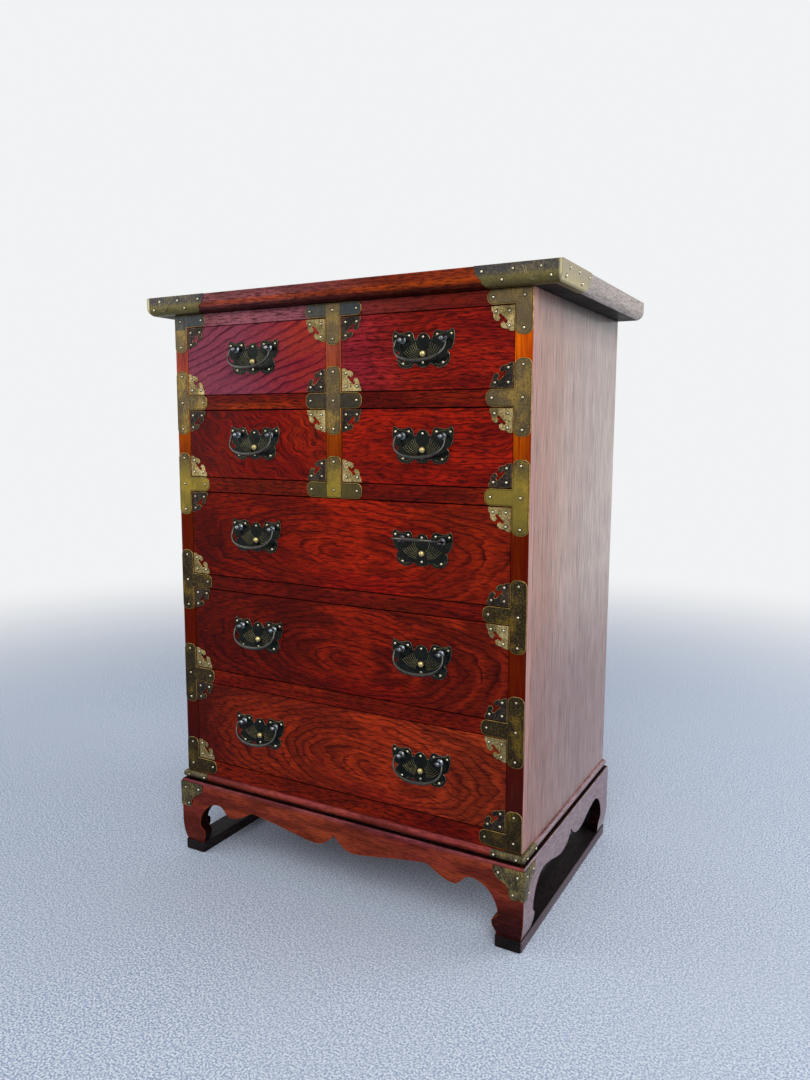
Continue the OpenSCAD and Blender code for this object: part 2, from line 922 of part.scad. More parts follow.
// Nails of the frame plates on the right-hand side, and on the centre line
STILE_NAILS = concat(
    [
        for (i = [0 : row_count - 2])
            for (p = [
                [stile_mid_x, stile_reach - nail_in], [stile_mid_x, 0],
                [stile_mid_x, nail_in - stile_reach], [arm_end_x + nail_in, 0]
            ])
                [p[0], rail_mid(i) + p[1]]
    ],
    [
        [arm_end_x + nail_in, top_rail_mid], [stile_mid_x, top_rail_mid],
        [stile_mid_x, top_arm_z + nail_in],
        [arm_end_x + nail_in, bottom_rail_mid], [stile_mid_x, bottom_rail_mid],
        [stile_mid_x, bottom_arm_z - nail_in]
    ]
);
CENTRE_NAILS = [
    [nail_in - arm_l, top_rail_mid], [0, top_rail_mid], [arm_l - nail_in, top_rail_mid],
    [0, top_arm_z + nail_in],
    [nail_in - arm_l, rail_mid(0)], [0, rail_mid(0)], [arm_l - nail_in, rail_mid(0)],
    [0, rail_mid(0) + cross_reach - nail_in], [0, rail_mid(0) - cross_reach + nail_in],
    [nail_in - arm_l, rail_mid(1)], [0, rail_mid(1)], [arm_l - nail_in, rail_mid(1)],
    [0, lower_arm_z - nail_in]
];

// Plates on the base

// The plate on a front leg, with s measured from the corner and z down from its top
leg_plate_gap = 5;
LEG_PLATE_TOP = apron_top - leg_plate_gap;
function leg_plate_outline(w, h) =
    let (z = LEG_PLATE_TOP)
        concat(
            [[0, z], [w, z]],
            curve([w, z - 3], [w - 1, z - 12], [w - 4, z - 19], [w - 14, z - 22]),
            curve([w - 20, z - 24], [w - 25, z - 27], [w - 25, z - 33], [w - 26.5, z - 38], 5),
            curve([w - 26.5, z - h + 9], [w - 28, z - h], [w - 37, z - h - 1], [w - 40, z - h + 3], 7),
            [[0, z - h + 3]]
        );

module leg_plate() {
    intersection() {
        difference() {
            block(base_x - leg_plate_w, base_y0 - brass_t, 0,
                base_x + brass_t, base_y0 + leg_plate_w, apron_top);
            block(0, base_y0, -1, base_x, base_y1, apron_top + 1);
        }
        union() {
            on_front(base_y0, brass_t)
                translate([base_x + brass_t, 0])
                    mirror([1, 0])
                        polygon(leg_plate_outline(leg_plate_w, leg_plate_h));
            on_side(base_x, brass_t)
                translate([base_y0 - brass_t, 0])
                    polygon(leg_plate_outline(leg_side_w, leg_plate_h));
        }
    }
}

// The bracket folded round the bead at a front corner
bracket_r = 4;
// The brackets' outlines are cut on blanks that run this far past the corner
bracket_over = 20;
module bead_bracket() {
    g = brass_t;
    h = bead_h + 2 * g;
    corner_x = half_w + bead_out;
    corner_y = -bead_out;
    intersection() {
        difference() {
            bead_solid(g = g);
            bead_solid();
            block(0, 0, case_z - 1, half_w, case_d, case_z + 5);
            block(0, 0, apron_top - 1, half_w - 1, case_d, bead_z + 1);
        }
        union() {
            on_front(1, bead_out + 6)
                translate([corner_x - bracket_l, bead_z - g])
                    round_rect(bracket_l + bracket_over, h, bracket_r);
            on_side(half_w - 1, bead_out + 6)
                translate([corner_y - bracket_over, bead_z - g])
                    round_rect(bracket_l + bracket_over, h, bracket_r);
        }
    }
}

module base_plates() {
    color(brass)
        both() {
            leg_plate();
            bead_bracket();
        }
}

// Nails of a leg plate of width w, measured from the corner and from its top
leg_nail_up = 9;
function leg_nails(w) = [[w - 10.5, 10], [10, 11], [17, leg_plate_h - leg_nail_up]];
bead_mid = bead_z + bead_h / 2;
bracket_nail_in = 6;
BRACKET_NAILS = [2 * bracket_nail_in, bracket_l - bracket_nail_in];

module frame_nails() {
    color(bright_brass) {
        nails_at(-brass_t, CENTRE_NAILS);
        both() {
            nails_at(-brass_t, STILE_NAILS);
            cap_nails();
            nails_at(base_y0 - brass_t, [
                for (n = leg_nails(leg_plate_w)) [base_x - n[0], LEG_PLATE_TOP - n[1]]
            ]);
            side_nails_at(base_x + brass_t, [
                for (n = leg_nails(leg_side_w)) [base_y0 + n[0], LEG_PLATE_TOP - n[1]]
            ]);
            nails_at(-bead_out - brass_t - seat_gap, [
                for (n = BRACKET_NAILS) [half_w + bead_out - n, bead_mid]
            ]);
            side_nails_at(half_w + bead_out + brass_t + seat_gap, [
                for (n = BRACKET_NAILS) [n - bead_out, bead_mid]
            ]);
        }
    }
}

// Drawers

// Where a drawer's opening starts and ends across the front
function opening_x0(side) = side == 1 ? muntin_w / 2 : -open_x;
function opening_x1(side) = side == -1 ? -muntin_w / 2 : open_x;
function drawer_x0(d) = opening_x0(d[2]) + side_gap;
function drawer_x1(d) = opening_x1(d[2]) - side_gap;
function front_z0(d) = row_floor(d[1]) + bottom_gap;
function front_z1(d) = row_top(d[1]) - top_gap;
function side_z0(d) = row_floor(d[1]) + slide_gap;
function side_z1(d) = front_z1(d) - side_drop;
function knob_z(i) = row_floor(i) + open_h[i] / 2 - knob_drop;
function handle_sides(d) = d[2] == 0 ? [-1, 1] : [d[2]];
function bottom_z(d) = side_z0(d) + bottom_rise;

// The space that the drawer's bottom needs in the front and the sides
module bottom_space(d, gap) {
    block(
        drawer_x0(d) + drawer_side_t - bottom_groove - gap,
        face_y + front_t - bottom_groove - gap,
        bottom_z(d) - gap,
        drawer_x1(d) - drawer_side_t + bottom_groove + gap,
        drawer_back_y + 1,
        bottom_z(d) + drawer_bottom_t + gap
    );
}

module drawer_front(d) {
    lap = front_t / 2;
    color(front_red)
        difference() {
            block(
                drawer_x0(d), face_y, front_z0(d),
                drawer_x1(d), face_y + front_t, front_z1(d)
            );
            for (x = [drawer_x0(d) - 1, drawer_x1(d) - drawer_side_t])
                block(
                    x, face_y + lap, front_z0(d) - 1,
                    x + drawer_side_t + 1, face_y + front_t + 1, front_z1(d) + 1
                );
            bottom_space(d, groove_gap);
            for (s = handle_sides(d))
                for (p = [-post_x, post_x])
                    translate([s * handle_x + p, face_y - 1, knob_z(d[1]) + post_z])
                        rotate([-90, 0, 0])
                            cylinder(r = shank_r + 0.1, h = front_t + 2);
        }
}

module drawer_box(d) {
    lap = front_t / 2;
    color(inner_wood) {
        for (x = [drawer_x0(d), drawer_x1(d) - drawer_side_t])
            difference() {
                block(
                    x, face_y + lap, side_z0(d),
                    x + drawer_side_t, drawer_back_y, side_z1(d)
                );
                bottom_space(d, groove_gap);
            }
        block(
            drawer_x0(d) + drawer_side_t + glue_gap,
            drawer_back_y - drawer_back_in - drawer_side_t,
            bottom_z(d) + drawer_bottom_t + glue_gap,
            drawer_x1(d) - drawer_side_t - glue_gap,
            drawer_back_y - drawer_back_in,
            side_z1(d)
        );
        intersection() {
            bottom_space(d, 0);
            block(-half_w, 0, 0, half_w, drawer_back_y - drawer_back_in, all_h);
        }
    }
}

// Half of the bat-shaped plate about the knob, for a plate of 102 by 55 mm
BAT_HALF = concat(
    [[0, 30]],
    curve([0, 30], [5, 30], [9, 27], [11, 21]),
    curve([11, 21], [13, 19], [15, 21], [16, 26], 5),
    curve([16, 26], [17, 31], [20, 33.5], [25, 33]),
    curve([25, 33], [32, 31], [40, 29], [47.5, 35]),
    curve([47.5, 35], [52, 32.5], [52, 22], [50, 15]),
    curve([50, 15], [49, 11], [47.5, 8], [46, 5.4], 5),
    curve([46, 5.4], [44, 3.6], [42, 5.5], [40, 2], 5),
    curve([40, 2], [46, -1], [45, -11], [39, -17]),
    curve([39, -17], [33, -21], [26, -21], [20, -19]),
    curve([20, -19], [17, -18], [16, -13], [12, -14.5], 5),
    curve([12, -14.5], [10, -18.5], [4, -19.5], [0, -19.5], 5)
);
function plate_point(p) = [p[0] * plate_w / 102, p[1] * plate_h / 55];

// Nails of a handle plate, for a plate of 102 by 55 mm
BAT_NAILS = [
    [-46, 27], [-23.2, 27], [0, 24.2], [23.2, 27], [46, 27],
    [-33, -13.5], [0, -12.8], [33, -13.5]
];

module handle_plate() {
    on_front(face_y, plate_t)
        polygon(both_sides([for (p = BAT_HALF) plate_point(p)]));
}

// The domed knob in the middle of a plate, turned about its own axis
module centre_knob() {
    ball_h = knob_out - knob_r;
    foot_a = asin((seat_gap - ball_h) / knob_r);
    translate([0, plate_y, 0])
        rotate([90, 0, 0])
            rotate_extrude()
                polygon(concat([[0, seat_gap]], arc([0, ball_h], knob_r, foot_a, 90)));
}

// Outline of a post from its axis outwards: shank, rosette, neck and round head.
// The first number is the radius, the second the height in front of the plate.
function post_outline() =
    let (head_h = plate_y - pivot_y, rosette_r = post_head_r + rosette_out)
        concat(
            [
                [0, plate_y - tail_y], [shank_r, plate_y - tail_y], [shank_r, seat_gap],
                [rosette_r, seat_gap], [rosette_r, seat_gap + rosette_t],
                [neck_r, seat_gap + rosette_t]
            ],
            arc([0, head_h], post_head_r, -acos(neck_r / post_head_r), 90, 10)
        );

// The cutter of a post's bore is longer than the head by bore_over, and the spread
// ends behind the wood are lower than the shank is thick by spread_less
bore_over = 4;
spread_less = 0.4;

// A turned post with its bore for the bail and two spread ends behind the wood
module post() {
    bore_l = 2 * post_head_r + bore_over;
    spread_h = 2 * shank_r - spread_less;
    difference() {
        union() {
            translate([0, plate_y, 0])
                rotate([90, 0, 0])
                    rotate_extrude()
                        polygon(post_outline());
            block(-spread_l, tail_y, -spread_h / 2, spread_l, tail_y + spread_t, spread_h / 2);
        }
        translate([-bore_l / 2, pivot_y, 0])
            rotate([0, 90, 0])
                cylinder(r = bail_end_r + pivot_gap, h = bore_l);
    }
}

// Half of a drawer corner plate with its square corner at the origin: along one
// edge, round the step and the lobe, and in through the neck to the slot
function corner_half() =
    let (
        l = corner_l,
        w = corner_w,
        step = [l - 3.4, 11],
        lobe = [l - 10, w],
        tip = [l - 12.6, w - 2.4],
        neck = (tip[0] + tip[1] - sqrt(2) * (corner_slot_in + corner_slot_w / 2)) / 2
    )
        concat(
            [[l, 0]],
            curve([l, 4.5], [l, 7.5], step + [0, -4], step, 5),
            curve(step, step + [0.2, 5], lobe + [4.5, 0], lobe, 6),
            curve(lobe, lobe + [-1.8, 0], tip + [0, 1.2], tip, 4),
            [tip - [neck, neck]]
        );

// A drawer corner plate: two lobes that curl round a slot across the diagonal
module corner_plate_shape() {
    half = corner_half();
    difference() {
        polygon(concat(
            [[0, 0]], half, [for (i = [len(half) - 1 : -1 : 0]) [half[i][1], half[i][0]]]
        ));
        rotate(45)
            translate([corner_slot_in, -corner_slot_l / 2])
                round_rect(corner_slot_w, corner_slot_l, corner_slot_w / 2 - 0.01);
    }
}

CORNER_NAILS = [
    [corner_nail_in, corner_nail_in],
    [corner_l - corner_nail_in, corner_nail_in],
    [corner_nail_in, corner_l - corner_nail_in]
];

// Places something at the four corners of a drawer front, mirrored to fit
module at_front_corners(d) {
    in = edge_gap;
    for (sx = [0, 1])
        for (sz = [0, 1])
            translate([
                sx == 0 ? drawer_x0(d) + in : drawer_x1(d) - in, 0,
                sz == 0 ? front_z0(d) + in : front_z1(d) - in
            ])
                mirror([sx, 0, 0])
                    mirror([0, 0, sz])
                        children();
}

module drawer_mounts(d) {
    for (s = handle_sides(d))
        translate([s * handle_x, 0, knob_z(d[1])]) {
            color(black_brass) {
                difference() {
                    handle_plate();
                    for (p = [-post_x, post_x])
                        translate([p, face_y + 1, post_z])
                            rotate([90, 0, 0])
                                cylinder(r = shank_r + 0.1, h = plate_t + 2);
                }
                for (p = [-post_x, post_x])
                    translate([p, 0, post_z])
                        post();
            }
            color(bright_brass) {
                centre_knob();
                nails_at(plate_y - seat_gap, [for (p = BAT_NAILS) plate_point(p)]);
            }
        }
    at_front_corners(d) {
        color(brass)
            on_front(face_y, brass_t)
                corner_plate_shape();
        color(bright_brass)
            nails_at(face_y - brass_t - seat_gap, CORNER_NAILS);
    }
}

// Bails

elbow_points = 4;
bail_neck_l = 0.7;
bail_neck_r = bail_end_r - 0.2;

// Centre line of the right half of a bail, from its pin to the middle of the bar
BAIL_HALF = concat(
    [[pin_x - bail_neck_l, 0], [pin_x + bail_neck_l, 0]],
    curve([pin_x + bail_neck_l, 0], [bail_x - 0.8, 0], [bail_x + 0.3, -4], [bail_x, -10.5], elbow_points),
    curve(
        [bail_x, -10.5], [bail_x - 0.4, -22],
        [bail_x - 13, -bail_drop], [0, -bail_drop], 9
    )
);
function bail_r(i) =
    i < 2 ? bail_neck_r
        : i <= elbow_points + 1 ? bail_end_r
        : let (t = (i - elbow_points - 1) / (len(BAIL_HALF) - elbow_points - 2))
            bail_end_r + (bail_mid_r - bail_end_r) * t * t * (3 - 2 * t);

// Centre points and radii from the right pin to the left one
function bail_points() = concat(
    BAIL_HALF,
    [for (i = [len(BAIL_HALF) - 2 : -1 : 0]) [-BAIL_HALF[i][0], BAIL_HALF[i][1]]]
);
function bail_radii() = concat(
    [for (i = [0 : len(BAIL_HALF) - 1]) bail_r(i)],
    [for (i = [len(BAIL_HALF) - 2 : -1 : 0]) bail_r(i)]
);

// A round bar along points in the XZ plane, with both ends square to the X axis
module bar(points, radii, sides = 8) {
    n = len(points);
    rings = [
        for (i = [0 : n - 1])
            let (
                ends = i == 0 || i == n - 1,
                d = ends ? [1, 0] : points[i + 1] - points[i - 1],
                u = d / norm(d),
                c = points[i]
            )
                for (k = [0 : sides - 1])
                    let (a = 360 * k / sides, p = radii[i] * cos(a))
                        [c[0] - u[1] * p, radii[i] * sin(a), c[1] + u[0] * p]
    ];
    skin = [
        for (i = [0 : n - 2])
            for (k = [0 : sides - 1])
                let (
                    a = i * sides + k,
                    b = i * sides + (k + 1) % sides
                )
                    for (f = [[a, b, b + sides], [a, b + sides, a + sides]])
                        f
    ];
    first = [for (k = [sides - 1 : -1 : 0]) k];
    last = [for (k = [0 : sides - 1]) (n - 1) * sides + k];
    polyhedron(points = rings, faces = concat(skin, [first, last]));
}

module bail(b) {
    pin_in = post_x - post_head_r - 1.6;
    color(black_brass)
        translate([b[2] * handle_x, pivot_y, knob_z(b[1]) + post_z])
            rotate([-b[3], 0, 0]) {
                bar(bail_points(), bail_radii());
                both()
                    translate([pin_in, 0, 0])
                        rotate([0, 90, 0])
                            cylinder(r = bail_end_r, h = pin_x - pin_in);
            }
}

placed() top_board();
placed() at_side(-1) side_panel();  // side_panel_left
placed() at_side(1) side_panel();  // side_panel_right
placed() at_side(-1) stile();  // stile_left
placed() at_side(1) stile();  // stile_right
placed() rail(row_top(0), top_rail_h);  // top_rail
placed() drawer_rails();
placed() rail(case_z, bottom_rail_h);  // bottom_rail
placed() centre_muntins();
placed() back_boards();
placed() bottom_board();
placed() dust_boards();
placed() side_bearers();
placed() centre_bearers();
placed() back_rails();
placed() drawer_stops();
placed() plinth_board();
placed() front_apron();
placed() at_side(-1) side_apron();  // side_apron_left
placed() at_side(1) side_apron();  // side_apron_right
placed() back_apron();
placed() corner_blocks();
placed() at_side(-1) runner();  // runner_left
placed() at_side(1) runner();  // runner_right
placed() frame_plates();
placed() frame_nails();
placed() at_side(-1) top_cap();  // top_cap_left
placed() at_side(1) top_cap();  // top_cap_right
placed() base_plates();
for (d = DRAWERS) {
    placed() drawer_front(d);
    placed() drawer_box(d);
    placed() drawer_mounts(d);
}
for (b = BAILS)
    placed() bail(b);
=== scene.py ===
"""A seven-drawer chest with brass mounts on a shaped base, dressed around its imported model.

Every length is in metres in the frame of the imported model: X to the right, Y to the back,
Z up, with the origin on the floor under the middle of the chest.
"""

from __future__ import annotations

import json
import logging
import math
import random
from dataclasses import dataclass, field, replace
from enum import Enum
from typing import Callable, Iterable, Sequence

import bmesh
import bpy
from mathutils import Matrix, Vector

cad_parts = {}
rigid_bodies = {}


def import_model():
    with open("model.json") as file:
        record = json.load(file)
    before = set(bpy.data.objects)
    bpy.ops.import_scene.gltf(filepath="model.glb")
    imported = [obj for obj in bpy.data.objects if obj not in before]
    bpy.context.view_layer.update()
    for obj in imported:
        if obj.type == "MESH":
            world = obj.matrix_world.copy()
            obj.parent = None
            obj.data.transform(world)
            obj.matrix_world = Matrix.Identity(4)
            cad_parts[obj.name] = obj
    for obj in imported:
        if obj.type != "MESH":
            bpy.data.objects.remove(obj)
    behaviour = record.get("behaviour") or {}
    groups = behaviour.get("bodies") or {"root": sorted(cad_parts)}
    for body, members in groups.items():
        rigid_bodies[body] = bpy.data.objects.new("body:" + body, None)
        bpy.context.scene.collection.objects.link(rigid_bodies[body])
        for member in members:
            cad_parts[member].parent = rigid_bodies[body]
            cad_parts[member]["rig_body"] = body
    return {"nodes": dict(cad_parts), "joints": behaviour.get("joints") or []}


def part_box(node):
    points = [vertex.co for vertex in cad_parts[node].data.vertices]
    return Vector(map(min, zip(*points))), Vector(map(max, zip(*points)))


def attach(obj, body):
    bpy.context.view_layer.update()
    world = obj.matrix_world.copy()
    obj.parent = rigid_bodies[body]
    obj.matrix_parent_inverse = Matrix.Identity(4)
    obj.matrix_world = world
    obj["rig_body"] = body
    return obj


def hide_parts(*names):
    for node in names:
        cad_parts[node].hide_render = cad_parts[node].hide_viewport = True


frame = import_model()

BMesh = bmesh.types.BMesh
Material = bpy.types.Material
Piece = bpy.types.Object
Socket = bpy.types.NodeSocket

LOG = logging.getLogger("chest")
MM = 0.001
CASE = "case"
FRONTWARDS = Vector((0, -1, 0))
MERGE_DISTANCE = 2e-6
FLAT_ANGLE = math.radians(0.6)
FORWARDS = 0.5
FACING = 0.72
SQUARELY = 0.97
PLATE_ANGLE = 50.0
SHARP_ANGLE = 38.0
SKY = {"Color": (0.92, 0.95, 1.0, 1), "Strength": 0.5}
BACKDROP = {"Color": (0.96, 0.97, 0.98, 1), "Strength": 0.92}


class Axis(Enum):
    """An axis of the part's frame."""

    X = 0
    Y = 1
    Z = 2


class Figure(Enum):
    """How the growth rings of a board show on its face."""

    STRAIGHT = "straight"
    OVAL = "oval"


class Tone(Enum):
    """The two ways in which the plates have aged."""

    PALE = "pale"
    DARK = "dark"


def colour(code: str) -> tuple[float, float, float, float]:
    """Turns a written colour into linear light.

    Args:
        code: Six hexadecimal digits, two for each of red, green and blue.

    Returns:
        Linear red, green, blue and an alpha of one.
    """
    parts = [int(code[i : i + 2], 16) / 255 for i in (0, 2, 4)]
    linear = [c / 12.92 if c <= 0.04045 else ((c + 0.055) / 1.055) ** 2.4 for c in parts]
    return (linear[0], linear[1], linear[2], 1.0)


class Nodes:
    """Adds and links the nodes of one tree."""

    def __init__(self, tree: bpy.types.NodeTree) -> None:
        """Starts on an empty tree."""
        self.tree = tree
        tree.nodes.clear()

    def add(self, kind: str, inputs: dict | None = None, **settings: object) -> bpy.types.Node:
        """Adds one node.

        Args:
            kind: Blender's name of the node type.
            inputs: Values or sockets, by the name or number of the input they go to.
            **settings: Properties of the node itself.

        Returns:
            The new node.
        """
        node = self.tree.nodes.new(kind)
        for key, value in settings.items():
            setattr(node, key, value)
        for key, value in (inputs or {}).items():
            if isinstance(value, Socket):
                self.tree.links.new(value, node.inputs[key])
            else:
                node.inputs[key].default_value = value
        return node

    def out(self, kind: str, inputs: dict | None = None, **settings: object) -> Socket:
        """Adds one node and returns its first output."""
        return self.add(kind, inputs, **settings).outputs[0]

    def times(self, a: object, b: object) -> Socket:
        """Returns the product of two numbers."""
        return self.math("MULTIPLY", a, b)

    def plus(self, a: object, b: object) -> Socket:
        """Returns two numbers added up."""
        return self.math("ADD", a, b)

    def math(self, operation: str, a: object, b: object = 0.0) -> Socket:
        """Returns the result of a sum on one or two numbers."""
        return self.out("ShaderNodeMath", {0: a, 1: b}, operation=operation)

    def vector(self, operation: str, a: object, b: object = (0, 0, 0)) -> Socket:
        """Returns the result of a sum on one or two vectors."""
        node = self.add("ShaderNodeVectorMath", {0: a, 1: b}, operation=operation)
        return node.outputs["Value" if operation in ("LENGTH", "DOT_PRODUCT") else "Vector"]

    def seen_directly(self) -> Socket:
        """Returns one for what the camera sees, itself or in metal and glass, else nought.

        Returns:
            The number, from the path of the light.
        """
        rays = self.add("ShaderNodeLightPath").outputs
        straight = self.math("MAXIMUM", rays["Is Camera Ray"], rays["Is Transmission Ray"])
        return self.math("MAXIMUM", straight, rays["Is Glossy Ray"])


class Surface(Nodes):
    """A material with one principled shader on the part's own coordinates."""

    def __init__(self, name: str, **uniform: object) -> None:
        """Makes the material.

        Args:
            name: The material's name.
            **uniform: Shader inputs that are the same all over, with _ for each space.
        """
        self.material = bpy.data.materials.new(name)
        self.material.use_nodes = True
        super().__init__(self.material.node_tree)
        inputs = {key.replace("_", " "): value for key, value in uniform.items()}
        self.shader = self.add("ShaderNodeBsdfPrincipled", inputs)
        self.output = self.add("ShaderNodeOutputMaterial", {"Surface": self.shader.outputs[0]})
        self.place = self.add("ShaderNodeTexCoord").outputs["Object"]

    def wire(self, name: str, value: Socket) -> None:
        """Links a pattern to one of the shader's inputs."""
        self.tree.links.new(value, self.shader.inputs[name])

    def noise(
        self, scale: float, stretch: Sequence[float] = (1, 1, 1), detail: float = 3.0,
        vector: Socket | None = None, output: str = "Fac",
    ) -> Socket:
        """Adds a cloudy pattern.

        Args:
            scale: Clouds per metre.
            stretch: A factor on the scale along each axis.
            detail: How many finer layers the clouds have.
            vector: Where to read the pattern, or nothing for the part's own coordinates.
            output: Fac for one number or Color for three.

        Returns:
            The pattern, around one half.
        """
        where = self.place if vector is None else vector
        where = self.vector("MULTIPLY", where, tuple(s * scale for s in stretch))
        node = self.add("ShaderNodeTexNoise", {"Vector": where, "Scale": 1.0, "Detail": detail})
        return node.outputs[output]

    def steps(self, value: Socket, *stops: tuple[float, float]) -> Socket:
        """Maps a number through straight lines between pairs of place and level.

        Args:
            value: The number.
            *stops: The pairs, in rising order of place.

        Returns:
            The level.
        """
        node = self.add("ShaderNodeValToRGB", {0: value})
        ramp = node.color_ramp.elements
        while len(ramp) < len(stops):
            ramp.new(0.5)
        for element, (place, level) in zip(ramp, stops):
            element.position = place
            element.color = (level, level, level, 1)
        return node.outputs[0]

    def blend(self, share: object, a: object, b: object) -> Socket:
        """Returns colour a where share is nought and colour b where it is one."""
        node = self.add("ShaderNodeMix", {0: share, 6: a, 7: b}, data_type="RGBA")
        return node.outputs[2]

    def relief(self, height: Socket, depth: float) -> None:
        """Gives the shader a relief of that depth in metres."""
        node = self.add("ShaderNodeBump", {"Height": height, "Strength": 1.0, "Distance": depth})
        self.wire("Normal", node.outputs[0])

    def attribute(self, name: str) -> Socket:
        """Reads a number that the mesh carries."""
        node = self.add("ShaderNodeAttribute", attribute_name=name)
        return node.outputs["Fac"]


@dataclass(frozen=True)
class Veil:
    """A tint that comes and goes along one axis of the chest, mostly painted light, shade and
    sheen.

    Attributes:
        axis: The axis along which the stops lie.
        tint: The veil's colour.
        stops: Pairs of place and share. Places count from 0 at the floor, or half a metre
            left of or in front of the middle, to 1 a metre further on.
        within: A second veil whose share this one is multiplied by.
    """

    axis: Axis
    tint: str
    stops: tuple[tuple[float, float], ...]
    within: "Veil | None" = None

    def over(self, s: Surface, tint: Socket) -> Socket:
        """Lays the veil over a surface.

        Args:
            s: The surface in the making.
            tint: Its colour so far.

        Returns:
            The veiled colour.
        """
        return s.blend(self.share(s), tint, colour(self.tint))

    def share(self, s: Surface) -> Socket:
        """Returns how much of the veil each place has.

        Args:
            s: The surface in the making.

        Returns:
            The share, from 0 to 1.
        """
        place = s.add("ShaderNodeSeparateXYZ", {0: s.place}).outputs[self.axis.value]
        if self.axis is not Axis.Z:
            place = s.plus(place, 0.5)
        share = s.steps(place, *self.stops)
        return s.times(share, self.within.share(s)) if self.within else share


RING_STEPS = ((0.0, 0.5), (0.05, 0.0), (0.64, 0.0), (0.8, 0.55), (0.91, 1.0), (1.0, 0.9))
GRAIN_DEPTH = 0.12 * MM
BRASS_DEPTH = 0.05 * MM
POLISHED_DEPTH = 0.03 * MM


